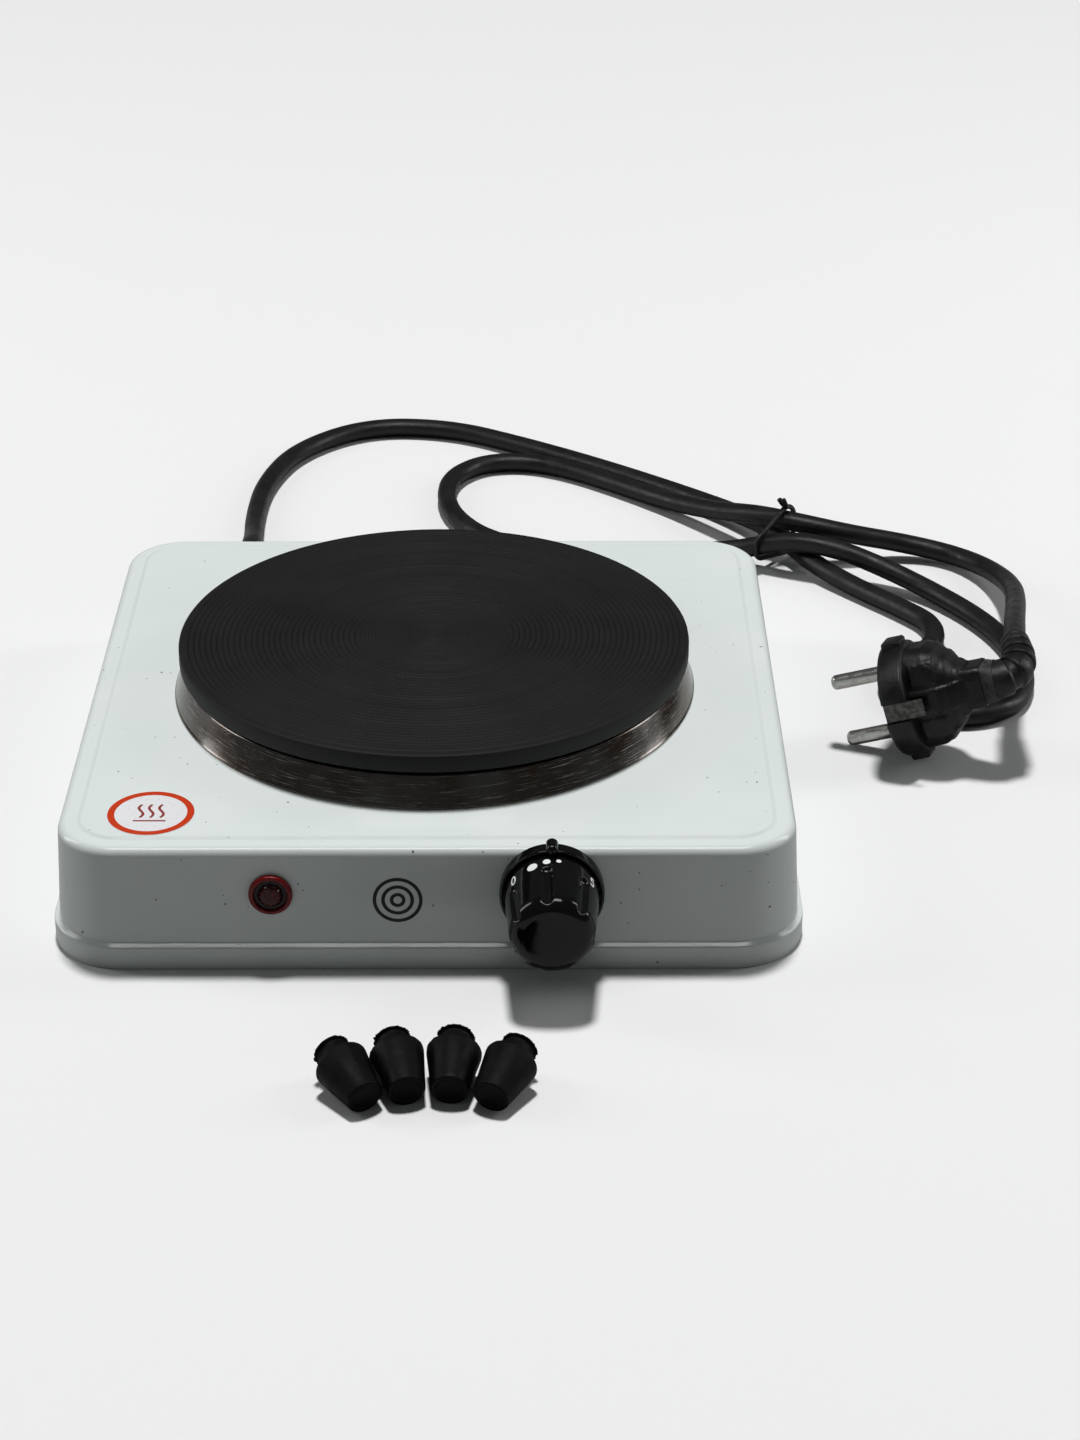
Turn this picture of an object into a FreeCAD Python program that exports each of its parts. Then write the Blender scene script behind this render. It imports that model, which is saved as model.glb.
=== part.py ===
import FreeCAD, Part
import math
import os

# Electric hot plate: enamelled steel body, cast iron plate, thermostat, lead and plug.
# Millimetres. X to the right, Y to the back, Z up. The origin is the middle of the
# base on the table.

V = FreeCAD.Vector
UP = V(0, 0, 1)
BACK = V(0, 1, 0)
FRONT = V(0, -1, 0)

# ---- driving dimensions ----

# body shell
body_width = 215.0
body_depth = 213.0
body_edge_z = 37.4        # height of the rounded top edge
panel_rise = 0.6          # the top panel is pressed up inside the edge
panel_border = 6.8        # width of the rounded border around the panel
sheet = 0.8               # sheet steel
corner_radius = 21.0
skirt_height = 6.8
ledge_height = 1.4        # slope from the skirt in to the wall
ledge_inset = 1.6
wall_draft = 1.5          # how far the wall leans in from the ledge to the top
edge_radius = 6.0

# base plate, its fixings and the foot holes
base_sheet = 0.8
base_gap = 0.4
dimple_height = 1.6
dimple_top_radius = 6.0
dimple_base_radius = 8.0
base_screw_y = 58.0
base_screw_inset = 11.5   # from the shell's side
bracket_width = 16.0
bracket_sheet = 1.2
bracket_height = 14.0
screw_radius = 1.5
screw_head_radius = 3.2
screw_head_height = 1.3
foot_hole_inset_x = 17.5  # from the shell's sides
foot_hole_inset_y = 18.5
foot_hole_radius = 4.4
vent_length = 24.0
vent_width = 3.0
vent_pitch = 9.0
vent_count = 5
vent_row_y = 36.0

# cast iron plate and what is clamped with it
plate_y = -3.0
plate_radius = 77.5
plate_rise = 16.4         # of the cooking surface above the top panel
plate_rim_height = 5.6
plate_web = 8.0
plate_edge = 0.8
plate_overhang = 3.1      # of the rim past the skirt
skirt_wall = 4.6
groove_pitch = 1.74
groove_depth = 0.35
groove_width = 0.7
groove_margin = 2.5       # plain edge outside the coarse grooves
centre_ring_radius = 22.0
fine_pitch = 1.1
fine_depth = 0.18
fine_width = 0.45
centre_dimple_radius = 1.6
land_width = 1.6          # plain ring between the fine and the coarse grooves
boss_radius = 11.0
rib_width = 2.0
rib_height = 5.4
opening_ledge = 1.8       # of the top panel under the plate's skirt
ring_sheet = 0.8
ring_lip = 1.6            # of the trim ring's top, outside the skirt
ring_flare = 3.4          # from the ring's top out to its foot
ring_top_gap = 1.3        # from the plate's rim down to the ring's top
ring_fit_gap = 0.2
coil_radius = 2.2
inner_coil = 34.0
outer_coil_inset = 11.8   # from the skirt
coil_below_web = 2.7
cover_sheet = 0.8
cover_gap = 0.3
stud_radius = 3.0
stud_into_boss = 8.0
stud_past_nut = 3.0
bridge_grip = 14.0        # of the bridge under the panel, outside the opening
bridge_width = 20.0
bridge_sheet = 1.5
bridge_drop = 5.5
bridge_foot = 12.0
bridge_leg = 5.0
shield_inset = 8.0        # inside the opening
shield_sheet = 0.5
shield_rim = 2.6
washer_radius = 7.0
washer_thickness = 1.2
nut_height = 5.0
nut_flats = 10.0
pin_radius = 1.2
pin_collar = 1.5          # height of the terminal's collar
pin_collar_wall = 1.2
plate_block_width = 14.0
plate_block_past_pin = 6.0
plate_block_height = 7.0
tab_width = 6.3
tab_thickness = 0.8
tab_length = 8.0
tab_gap = 0.4             # from the pin

# control on the front wall
knob_x = 35.2
knob_z = 24.5
knob_rear_radius = 13.3
knob_front_radius = 11.7
knob_length = 23.0
knob_edge_radius = 4.2
knob_wall = 1.8
knob_skirt = 1.6
knob_hub_wall = 2.8
knob_hub_recess = 4.0
knob_gap = 0.9            # between the bezel and the knob
flute_count = 7
flute_width = 3.2
flute_depth = 1.1
flute_start = 5.5
flute_angle = -7.0        # of the first flute from the top, clockwise
bezel_clearance = 0.5     # round the knob
bezel_plate = 1.2
bezel_bow = 0.9           # takes up the wall's lean
bezel_rim = 0.9
bezel_rim_height = 2.4
pointer_radius = 1.7
pointer_length = 5.2
spindle_radius = 3.0
spindle_clearance = 0.05
spindle_flat = 1.6        # height of the flat above the axis
spindle_into_knob = 12.0
spindle_collar_lip = 1.3
spindle_collar = 1.4
clip_sheet = 0.6
clip_width = 3.6
clip_length = 9.0
bushing_wall = 1.5
bushing_flange = 1.2
bushing_end_gap = 0.1
bushing_nut_wall = 2.0
bushing_nut_height = 2.6
fit_gap = 0.1

# thermostat behind the front wall
frame_sheet = 1.3
frame_left = 12.0
frame_right = 31.0
frame_half_height = 9.5
stack_x = 22.0            # from the spindle
stack_radius = 6.0
washers = (4.9, 3.0, 3.0, 3.0)
blade_width = 8.0
blade_tip = 9.0           # how far the blades pass the spindle
blade_tab = 12.0          # length of the terminal tabs outside the stack
adjusting_blade_sheet = 0.6
contact_blade_sheet = 0.4
bimetal_sheet = 0.8
rivet_radius = 1.6
rivet_head_radius = 3.0
rivet_head = 1.2
contact_radius = 1.8
contact_from_tip = 3.0
tip_pin_radius = 1.3

# indicator lamp
lamp_x = -43.5
lamp_z = 23.5
lens_rim_width = 1.3
lens_rim = 1.4
lens_dome = 1.1
lens_radius = 4.9
lens_wall = 0.9
lens_depth = 13.0
bulb_radius = 2.5
bulb_length = 9.0
holder_length = 9.0
lamp_clip_width = 2.6
lamp_clip_sheet = 0.6
resistor_radius = 1.3
resistor_length = 6.5

# cord entry, clamp and terminal block
cord_diameter = 7.0
cord_x = -70.0
cord_z = 14.0
gland_flange_width = 5.0  # outside the lead
gland_flange = 2.2
gland_neck_wall = 2.7
gland_tail_wall = 1.2
gland_root_wall = 2.4
gland_inner_lip = 1.6
gland_groove_gap = 0.05
inner_cord_length = 26.0
clamp_y_from_wall = 19.0
clamp_width = 8.0
clamp_shoulder = 7.5      # of the clamp on each side of the lead
clamp_cap_sheet = 2.5
block_x = -62.0
block_y = 44.0
block_width = 34.0
block_depth = 16.0
block_height = 13.0
pole_pitch = 10.0
pole_radius = 2.6
pole_screw_radius = 1.5
wire_radius = 1.1
core_offset = 1.7
earth_x = -92.0
earth_y = 20.0

# feet, which lie loose in front of the body
foot_big_radius = 7.4
foot_small_radius = 5.2
foot_body_length = 14.4
foot_neck_radius = 4.2
foot_neck_length = 5.0
foot_lip_radius = 4.8
foot_lip = 1.3
foot_round = 1.0
foot_places = (
    # middle of the small end: x, y, and the heading of the head end
    (-14.0, -176.0, 120.5),
    (-3.3, -173.3, 103.4),
    (7.9, -172.9, 86.0),
    (18.6, -175.9, 66.6),
)

# label and emblem
label_inset_x = 29.2      # from the shell's left side
label_inset_y = 22.5      # from its front
label_radius = 12.4
print_thickness = 0.12
emblem_x = -8.0
emblem_z = 21.5
emblem_radii = (7.0, 4.6, 2.2)
emblem_line = 1.0

# plug
plug_face = V(145.5, 22.8, 17.9)          # middle of the front face
plug_heading = -16.6                      # of the cord end in plan, degrees
plug_pitch = 20.7                         # how far the cord end is raised
plug_roll = 9.6                           # of the pin line about the axis
plug_face_radius = 18.2
plug_disc = 8.0
plug_waist_z = 24.0
plug_waist_radius = 11.0
plug_grip_half = 11.5
plug_collar = 13.5
plug_collar_length = 6.5
plug_pin_radius = 2.4
plug_pin_length = 19.0
plug_pin_pitch = 19.0
plug_pin_root = 6.0
earth_width = 6.4
earth_depth = 2.6
earth_length = 13.0
earth_sheet = 0.8
relief_points = (
    V(177.3, 14.4, 30.3),
    V(181.2, 17.4, 32.2),
    V(183.1, 23.0, 33.0),
    V(183.6, 29.8, 32.7),
)
relief_root_wall = 2.9    # outside the lead
relief_tip_wall = 1.0
relief_ribs = 6
relief_rib_depth = 0.9

# tie around the three strands beside the body, seen along the strands
tie_at = V(118.5, 166.0, 0)
tie_heading = -40.0
tie_strands = ((4.9, 6.6), (4.5, 14.4), (-8.2, 9.4))    # middles of the strands: side, height
tie_wire = 0.9
tie_slack = 0.95
tie_tail_length = 5.0

# route of the lead, from the gland to the plug
cord_route = (
    V(-70.0, 131.0, 14.0),
    V(-70.0, 149.0, 14.0),
    V(-71.0, 171.0, 7.0),
    V(-73.0, 197.0, 3.5),
    V(-71.5, 229.0, 3.5),
    V(-61.0, 261.0, 3.5),
    V(-35.0, 284.0, 3.5),
    V(-2.0, 282.0, 3.5),
    V(27.0, 264.0, 3.5),
    V(56.0, 243.0, 3.5),
    V(85.0, 219.0, 3.5),
    V(110.0, 192.0, 5.2),
    V(120.0, 172.5, 7.2),
    V(130.0, 153.0, 4.9),
    V(145.0, 134.5, 3.5),
    V(159.0, 118.5, 3.5),
    V(168.5, 105.0, 3.5),
    V(166.0, 88.5, 3.5),
    V(153.0, 77.2, 3.5),
    V(146.2, 61.0, 3.5),
    V(152.8, 44.2, 3.5),
    V(169.5, 37.2, 3.5),
    V(186.2, 44.2, 3.5),
    V(193.3, 60.5, 3.5),
    V(194.0, 78.0, 3.5),
    V(190.5, 96.5, 3.5),
    V(182.5, 114.5, 3.5),
    V(170.5, 131.5, 4.0),
    V(155.5, 144.0, 7.0),
    V(138.0, 149.8, 12.4),
    V(121.0, 156.5, 12.4),
    V(103.0, 163.5, 5.0),
    V(80.0, 165.0, 3.5),
    V(54.0, 162.5, 3.5),
    V(29.0, 166.5, 3.5),
    V(11.0, 179.5, 3.5),
    V(1.0, 197.0, 3.5),
    V(-2.8, 215.5, 3.5),
    V(-1.0, 233.0, 3.5),
    V(10.0, 246.5, 3.5),
    V(27.0, 249.0, 3.5),
    V(44.5, 241.0, 3.5),
    V(63.5, 225.5, 3.5),
    V(82.0, 208.0, 4.4),
    V(98.0, 190.5, 8.5),
    V(111.5, 175.0, 14.3),
    V(127.0, 166.3, 14.5),
    V(145.0, 164.3, 11.0),
    V(162.5, 168.5, 6.0),
    V(179.5, 163.8, 3.9),
    V(190.5, 151.0, 5.0),
    V(195.8, 134.0, 7.8),
    V(196.5, 114.5, 12.5),
    V(193.0, 90.0, 18.5),
    V(188.0, 62.0, 26.0),
    V(184.2, 37.0, 31.6),
)

# ---- helpers ----


def box(x0, x1, y0, y1, z0, z1):
    return Part.makeBox(x1 - x0, y1 - y0, z1 - z0, V(x0, y0, z0))


def rod(base, direction, radius, length):
    return Part.makeCylinder(radius, length, base, direction)


def tube(base, direction, outer, inner, length):
    return rod(base, direction, outer, length).cut(rod(base, direction, inner, length))


def hexagon(base, direction, flats, height):
    ring = Part.makePolygon([
        V(math.cos(math.radians(60 * i)), math.sin(math.radians(60 * i)), 0) * (flats / math.sqrt(3))
        for i in range(7)
    ])
    prism = Part.Face(ring).extrude(UP * height)
    prism.Placement = FreeCAD.Placement(base, FreeCAD.Rotation(UP, direction))
    return prism


def spin(points, base, direction):
    """A solid of revolution from (radius, height) points about a line."""
    outline = Part.makePolygon([V(r, 0, h) for r, h in points] + [V(points[0][0], 0, points[0][1])])
    solid = Part.Face(outline).revolve(V(0, 0, 0), UP, 360)
    solid.Placement = FreeCAD.Placement(base, FreeCAD.Rotation(UP, direction))
    return solid


def rounded_wire(half_x, half_y, radius, z):
    edges = []
    centres = (
        (half_x - radius, half_y - radius, 0),
        (radius - half_x, half_y - radius, 90),
        (radius - half_x, radius - half_y, 180),
        (half_x - radius, radius - half_y, 270),
    )
    corners = []
    for x, y, start in centres:
        corner = []
        for turn in (0, 45, 90):
            a = math.radians(start + turn)
            corner.append(V(x + radius * math.cos(a), y + radius * math.sin(a), z))
        corners.append(corner)
    for i, corner in enumerate(corners):
        edges.append(Part.Arc(*corner).toShape())
        edges.append(Part.LineSegment(corner[2], corners[(i + 1) % 4][0]).toShape())
    return Part.Wire(edges)


def swept_cord(points, radius):
    """Straight runs joined by tangent arcs, each as large as its two runs allow."""
    edges = []
    radii = []
    last = points[0]
    for before, here, after in zip(points, points[1:], points[2:]):
        to_here = (here - before).normalize()
        onward = (after - here).normalize()
        half_turn = to_here.getAngle(onward) / 2
        shorter = min((here - before).Length, (after - here).Length)
        arc_radius = 0.45 * shorter / math.tan(half_turn)
        radii.append(arc_radius)
        reach = 0.45 * shorter
        start = here - to_here * reach
        end = here + onward * reach
        inward = (onward - to_here).normalize()
        centre = here + inward * (arc_radius / math.cos(half_turn))
        middle = centre - inward * arc_radius
        edges.append(Part.LineSegment(last, start).toShape())
        edges.append(Part.Arc(start, middle, end).toShape())
        last = end
    edges.append(Part.LineSegment(last, points[-1]).toShape())
    path = Part.Wire(edges)
    ring = Part.Wire(Part.Circle(points[0], points[1] - points[0], radius).toShape())
    solid = path.makePipeShell([ring], True, False)
    return solid, path.Length, radii


# ---- body shell ----

wall_z = skirt_height + ledge_height
panel_z = body_edge_z + panel_rise
panel_under_z = panel_z - sheet
cord_radius = cord_diameter / 2
skirt_outer_radius = plate_radius - plate_overhang
skirt_inner_radius = skirt_outer_radius - skirt_wall
opening_radius = skirt_inner_radius - opening_ledge
bushing_radius = spindle_radius + bushing_wall
gland_neck_radius = cord_radius + gland_neck_wall


def body_form(skin):
    """The body's outer form, moved in by skin all over."""
    half_x = body_width / 2 - skin
    half_y = body_depth / 2 - skin
    radius = corner_radius - skin
    edge_z = body_edge_z - skin
    outline = (
        (0.0, 0.0),
        (skirt_height, 0.0),
        (wall_z, ledge_inset),
        (edge_z, ledge_inset + wall_draft),
    )
    rings = [rounded_wire(half_x - i, half_y - i, radius - i, z) for z, i in outline]
    form = Part.makeLoft(rings, True, True)
    top_edges = [e for e in form.Edges if abs(e.BoundBox.ZMin - edge_z) < 0.01]
    form = form.makeFillet(edge_radius - skin, top_edges)
    border = ledge_inset + wall_draft + panel_border
    panel = Part.makeLoft([
        rounded_wire(half_x - border, half_y - border, radius - border, edge_z - 0.5),
        rounded_wire(half_x - border, half_y - border, radius - border, edge_z),
        rounded_wire(half_x - border - 1, half_y - border - 1, radius - border - 1, edge_z + panel_rise),
    ], True, True)
    return form.fuse(panel).removeSplitter()


outer_form = body_form(0.0)
cavity = body_form(sheet)
plate_axis = V(0, plate_y, 0)


def wall_half_depth(z):
    """Half the body's outer depth at a height on its wall."""
    lean = wall_draft * (z - wall_z) / (body_edge_z - wall_z)
    return body_depth / 2 - ledge_inset - lean


knob_wall_y = -wall_half_depth(knob_z)
lamp_wall_y = -wall_half_depth(lamp_z)
cord_wall_y = wall_half_depth(cord_z)


def housing_shell():
    shell = outer_form.cut(cavity)
    shell = shell.cut(rod(plate_axis, UP, opening_radius, 60))
    shell = shell.cut(rod(V(knob_x, knob_wall_y - 5, knob_z), BACK, bushing_radius + fit_gap, 10))
    shell = shell.cut(rod(V(lamp_x, lamp_wall_y - 5, lamp_z), BACK, lens_radius + fit_gap, 10))
    gland_hole = gland_neck_radius + gland_groove_gap
    return shell.cut(rod(V(cord_x, cord_wall_y - 5, cord_z), BACK, gland_hole, 10))


# ---- base plate and its fixings ----

base_screw_x = body_width / 2 - base_screw_inset
foot_hole_x = body_width / 2 - foot_hole_inset_x
foot_hole_y = body_depth / 2 - foot_hole_inset_y
base_screws_at = [V(sx * base_screw_x, sy * base_screw_y, 0) for sx in (-1, 1) for sy in (-1, 1)]
dimple_top_z = dimple_height + base_sheet


def base_plate():
    inset = sheet + base_gap
    ring = rounded_wire(body_width / 2 - inset, body_depth / 2 - inset, corner_radius - inset, 0)
    plate = Part.Face(ring).extrude(UP * base_sheet)
    for at in base_screws_at:
        low = dimple_base_radius + base_sheet
        high = dimple_top_radius + base_sheet
        plate = plate.fuse(Part.makeCone(low, high, dimple_top_z, at, UP))
    for at in base_screws_at:
        plate = plate.cut(Part.makeCone(dimple_base_radius, dimple_top_radius, dimple_height, at, UP))
        plate = plate.cut(rod(at, UP, screw_radius + fit_gap, dimple_top_z))
    for sx in (-1, 1):
        for sy in (-1, 1):
            at = V(sx * foot_hole_x, sy * foot_hole_y, 0)
            plate = plate.cut(rod(at, UP, foot_hole_radius, base_sheet))
    for row in (-1, 1):
        for i in range(vent_count):
            x = (i - (vent_count - 1) / 2) * vent_pitch
            y = row * vent_row_y
            half = vent_length / 2 - vent_width / 2
            slot = box(x - vent_width / 2, x + vent_width / 2, y - half, y + half, 0, base_sheet)
            for end in (-half, half):
                slot = slot.fuse(rod(V(x, y + end, 0), UP, vent_width / 2, base_sheet))
            plate = plate.cut(slot)
    earth_hole = rod(V(earth_x, earth_y, 0), UP, screw_radius + fit_gap, base_sheet)
    for at in block_screws_at + clamp_screws_at:
        plate = plate.cut(rod(at, UP, screw_radius + fit_gap, base_sheet))
    return plate.cut(earth_hole)


def corner_brackets():
    brackets = []
    for at in base_screws_at:
        side = 1 if at.x > 0 else -1
        inner = abs(at.x) - bracket_width / 2
        x0, x1 = sorted((side * inner, side * (body_width / 2)))
        leaf_x0, leaf_x1 = sorted((side * (body_width / 2 - 4.6), side * (body_width / 2)))
        y0 = at.y - bracket_width / 2
        y1 = at.y + bracket_width / 2
        foot = box(x0, x1, y0, y1, dimple_top_z, dimple_top_z + bracket_sheet)
        leaf = box(leaf_x0, leaf_x1, y0, y1, dimple_top_z, dimple_top_z + bracket_height)
        bracket = foot.fuse(leaf).common(cavity)
        brackets.append(bracket.cut(rod(at, UP, screw_radius, 10)).removeSplitter())
    return brackets


def screw_up(at, seat_z, length):
    """A pan head screw driven upwards, with its head under seat_z."""
    head = rod(V(at.x, at.y, seat_z - screw_head_height), UP, screw_head_radius, screw_head_height)
    slot = box(-0.4, 0.4, -screw_head_radius, screw_head_radius, -0.01, 0.6)
    slot.translate(V(at.x, at.y, seat_z - screw_head_height))
    return head.cut(slot).fuse(rod(V(at.x, at.y, seat_z), UP, screw_radius, length))


def base_screws():
    return [screw_up(at, dimple_height, 6.0) for at in base_screws_at]


# ---- cast iron plate ----

plate_top_z = panel_z + plate_rise
rim_under_z = plate_top_z - plate_rim_height
ring_seat_z = panel_z + ring_sheet
web_under_z = plate_top_z - plate_web
rib_under_z = web_under_z - rib_height
cover_z = rib_under_z - cover_sheet
coil_z = web_under_z - coil_below_web
outer_coil = skirt_inner_radius - outer_coil_inset
rib_radius = (inner_coil + outer_coil - rib_width) / 2
plate_block_half = (outer_coil - inner_coil) / 2 + plate_block_past_pin


def hotplate_casting():
    outline = [(0, web_under_z), (skirt_inner_radius, web_under_z), (skirt_inner_radius, ring_seat_z)]
    outline += [(skirt_outer_radius, ring_seat_z), (skirt_outer_radius, rim_under_z)]
    outline += [(plate_radius - plate_edge / 2, rim_under_z), (plate_radius, rim_under_z + plate_edge / 2)]
    outline += [(plate_radius, plate_top_z - plate_edge), (plate_radius - plate_edge, plate_top_z)]
    radius = plate_radius - groove_margin
    while radius - groove_pitch > centre_ring_radius + land_width:
        flank = groove_width / 2
        outline += [(radius, plate_top_z), (radius - flank, plate_top_z - groove_depth)]
        outline += [(radius - 2 * flank, plate_top_z)]
        radius -= groove_pitch
    radius = centre_ring_radius
    while radius - fine_pitch > centre_dimple_radius:
        flank = fine_width / 2
        outline += [(radius, plate_top_z), (radius - flank, plate_top_z - fine_depth)]
        outline += [(radius - 2 * flank, plate_top_z)]
        radius -= fine_pitch
    outline += [(centre_dimple_radius, plate_top_z), (0, plate_top_z - 0.5)]
    casting = spin(outline, plate_axis, UP)
    base = plate_axis + UP * rib_under_z
    boss = rod(base, UP, boss_radius, rib_height)
    rib = tube(base, UP, rib_radius + rib_width, rib_radius, rib_height)
    casting = casting.fuse(boss).fuse(rib)
    return casting.cut(rod(base, UP, stud_radius, stud_into_boss)).removeSplitter()


def trim_ring():
    top_z = rim_under_z - ring_top_gap
    neck = skirt_outer_radius + ring_fit_gap
    ring_top_radius = skirt_outer_radius + ring_lip
    ring_foot_radius = ring_top_radius + ring_flare
    outline = (
        (neck, top_z - ring_sheet),
        (ring_top_radius - ring_sheet, top_z - ring_sheet),
        (ring_foot_radius - ring_sheet - 0.6, ring_seat_z),
        (skirt_inner_radius, ring_seat_z),
        (skirt_inner_radius, panel_z),
        (ring_foot_radius, panel_z),
        (ring_foot_radius, panel_z + ring_sheet / 2),
        (ring_top_radius, top_z),
        (neck, top_z),
    )
    return spin(outline, plate_axis, UP)


def coil_at(radius):
    return Part.makeTorus(radius, coil_radius, plate_axis + UP * coil_z, UP)


def pin_at(radius):
    foot_z = cover_z - plate_block_height - pin_collar
    return rod(V(0, plate_y - radius, foot_z), UP, pin_radius, coil_z - foot_z)


def heating_coil():
    return [coil_at(r).fuse(pin_at(r)) for r in (inner_coil, outer_coil)]


def element_insulation():
    packs = []
    base = plate_axis + UP * rib_under_z
    spans = ((boss_radius, rib_radius, inner_coil), (rib_radius + rib_width, skirt_inner_radius, outer_coil))
    for inner, outer, coil in spans:
        pack = tube(base, UP, outer, inner, rib_height)
        packs.append(pack.cut(coil_at(coil)).cut(pin_at(coil)))
    return packs


def heater_cover():
    radius = skirt_inner_radius - cover_gap
    cover = tube(plate_axis + UP * cover_z, UP, radius, stud_radius + fit_gap, cover_sheet)
    return cover.cut(pin_at(inner_coil)).cut(pin_at(outer_coil))


def plate_terminal_block():
    middle = plate_y - (inner_coil + outer_coil) / 2
    half = plate_block_half
    block = box(
        -plate_block_width / 2, plate_block_width / 2, middle - half, middle + half,
        cover_z - plate_block_height, cover_z,
    )
    upright = [e for e in block.Edges if abs(e.BoundBox.ZLength - plate_block_height) < 0.01]
    block = block.makeFillet(2.0, upright)
    return block.cut(pin_at(inner_coil)).cut(pin_at(outer_coil))


def plate_terminals():
    tabs = []
    for radius, side in ((inner_coil, 1), (outer_coil, -1)):
        top_z = cover_z - plate_block_height
        at = V(0, plate_y - radius, top_z - pin_collar)
        collar = rod(at, UP, pin_radius + pin_collar_wall, pin_collar)
        y = at.y + side * (pin_radius + tab_gap)
        y0, y1 = sorted((y, y + side * tab_thickness))
        blade = box(-tab_width / 2, tab_width / 2, y0, y1, top_z - tab_length, top_z)
        tabs.append(collar.fuse(blade).cut(pin_at(radius)).removeSplitter())
    return tabs


bridge_top_z = panel_under_z
bridge_floor_z = bridge_top_z - bridge_drop
bridge_half_length = opening_radius + bridge_grip
washer_base_z = bridge_floor_z - bridge_sheet - washer_thickness
nut_base_z = washer_base_z - nut_height


def center_stud():
    bottom_z = nut_base_z - stud_past_nut
    return rod(plate_axis + UP * bottom_z, UP, stud_radius, rib_under_z + stud_into_boss - bottom_z)


def clamp_bridge():
    foot_x = bridge_half_length - bridge_foot
    leg_x = foot_x - bridge_leg
    upper = [(-bridge_half_length, 0), (-foot_x, 0), (-leg_x, -bridge_drop)]
    upper += [(leg_x, -bridge_drop), (foot_x, 0), (bridge_half_length, 0)]
    lower = [(x, z - bridge_sheet) for x, z in reversed(upper)]
    ring = [V(x, plate_y - bridge_width / 2, bridge_top_z + z) for x, z in upper + lower + upper[:1]]
    strap = Part.Face(Part.makePolygon(ring)).extrude(BACK * bridge_width)
    return strap.cut(rod(plate_axis, UP, stud_radius + fit_gap, 60))


def heat_shield():
    base = plate_axis + UP * bridge_floor_z
    shield_radius = opening_radius - shield_inset
    dish = tube(base, UP, shield_radius, stud_radius + fit_gap, shield_sheet)
    rim = tube(base, UP, shield_radius, shield_radius - shield_sheet, shield_rim)
    middle = plate_y - (inner_coil + outer_coil) / 2
    window = box(
        -plate_block_width / 2 - 2, plate_block_width / 2 + 2,
        middle - plate_block_half - 12, middle + plate_block_half + 2,
        bridge_floor_z - 1, bridge_floor_z + shield_rim + 1,
    )
    return dish.fuse(rim).cut(window).removeSplitter()


def stud_washer():
    return tube(plate_axis + UP * washer_base_z, UP, washer_radius, stud_radius + fit_gap, washer_thickness)


def stud_nut():
    base = plate_axis + UP * nut_base_z
    return hexagon(base, UP, nut_flats, nut_height).cut(rod(base, UP, stud_radius, nut_height))


# ---- thermostat and knob; depths are along the spindle, to the back from the wall ----

frame_back_y = knob_wall_y + sheet + bezel_bow + frame_sheet
bezel_front_y = knob_wall_y - bezel_plate - bezel_bow
bezel_radius = knob_rear_radius + bezel_clearance + bezel_rim
nut_front_y = bezel_front_y - bushing_nut_height
knob_rear_y = bezel_front_y - knob_gap
knob_front_y = knob_rear_y - knob_length
stack_at_x = knob_x + stack_x


def spindle_line(y):
    return V(knob_x, y, knob_z)


def thermostat_frame():
    plate = box(
        knob_x - frame_left, knob_x + frame_right, knob_wall_y - 2, frame_back_y,
        knob_z - frame_half_height, knob_z + frame_half_height,
    ).common(cavity)
    plate = plate.cut(rod(spindle_line(knob_wall_y - 5), BACK, bushing_radius, 15))
    return plate.cut(rod(V(stack_at_x, knob_wall_y - 5, knob_z), BACK, rivet_radius, 15))


def stack_levels():
    """Where each washer and blade starts, from the frame to the back."""
    blades = (adjusting_blade_sheet, contact_blade_sheet, bimetal_sheet)
    y = frame_back_y
    levels = []
    for i, washer in enumerate(washers):
        levels.append(y)
        y += washer
        if i < len(blades):
            levels.append(y)
            y += blades[i]
    return levels, y


levels, stack_end_y = stack_levels()


def thermostat_ceramics():
    """The stack's washers and the pin that passes the bimetal's bend on."""
    stack = []
    for i, washer in enumerate(washers):
        base = V(stack_at_x, levels[2 * i], knob_z)
        stack.append(tube(base, BACK, stack_radius, rivet_radius, washer))
    front = levels[3] + contact_blade_sheet
    stack.append(rod(V(knob_x + 4, front, knob_z), BACK, tip_pin_radius, levels[5] - front))
    return stack


def blade(index, thickness, tab):
    y = levels[2 * index + 1]
    right = stack_at_x + stack_radius + tab
    strip = box(
        knob_x - blade_tip, right, y, y + thickness,
        knob_z - blade_width / 2, knob_z + blade_width / 2,
    )
    return strip.cut(rod(V(stack_at_x, y - 1, knob_z), BACK, rivet_radius, thickness + 2))


def adjusting_blade():
    return blade(0, adjusting_blade_sheet, blade_tab)


def contact_blade():
    return blade(1, contact_blade_sheet, blade_tab)


def bimetal_strip():
    return blade(2, bimetal_sheet, 1.0)


def contact_points():
    x = knob_x - blade_tip + contact_from_tip
    front = levels[1] + adjusting_blade_sheet
    back = levels[3]
    half = (back - front) / 2
    return [rod(V(x, front + i * half, knob_z), BACK, contact_radius, half) for i in (0, 1)]


def stack_rivet():
    front_y = knob_wall_y + sheet + 0.5
    shank = rod(V(stack_at_x, front_y, knob_z), BACK, rivet_radius, stack_end_y - front_y)
    head = rod(V(stack_at_x, stack_end_y, knob_z), BACK, rivet_head_radius, rivet_head)
    return shank.common(cavity).fuse(head)


def thermostat_bushing():
    back_y = frame_back_y + bushing_flange
    flange = rod(spindle_line(frame_back_y), BACK, bushing_radius + bushing_wall, bushing_flange)
    barrel = rod(spindle_line(nut_front_y - 0.5), BACK, bushing_radius, back_y - nut_front_y + 0.5)
    bore = rod(spindle_line(nut_front_y - 1), BACK, spindle_radius + spindle_clearance, 20)
    return barrel.fuse(flange).cut(bore)


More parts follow.
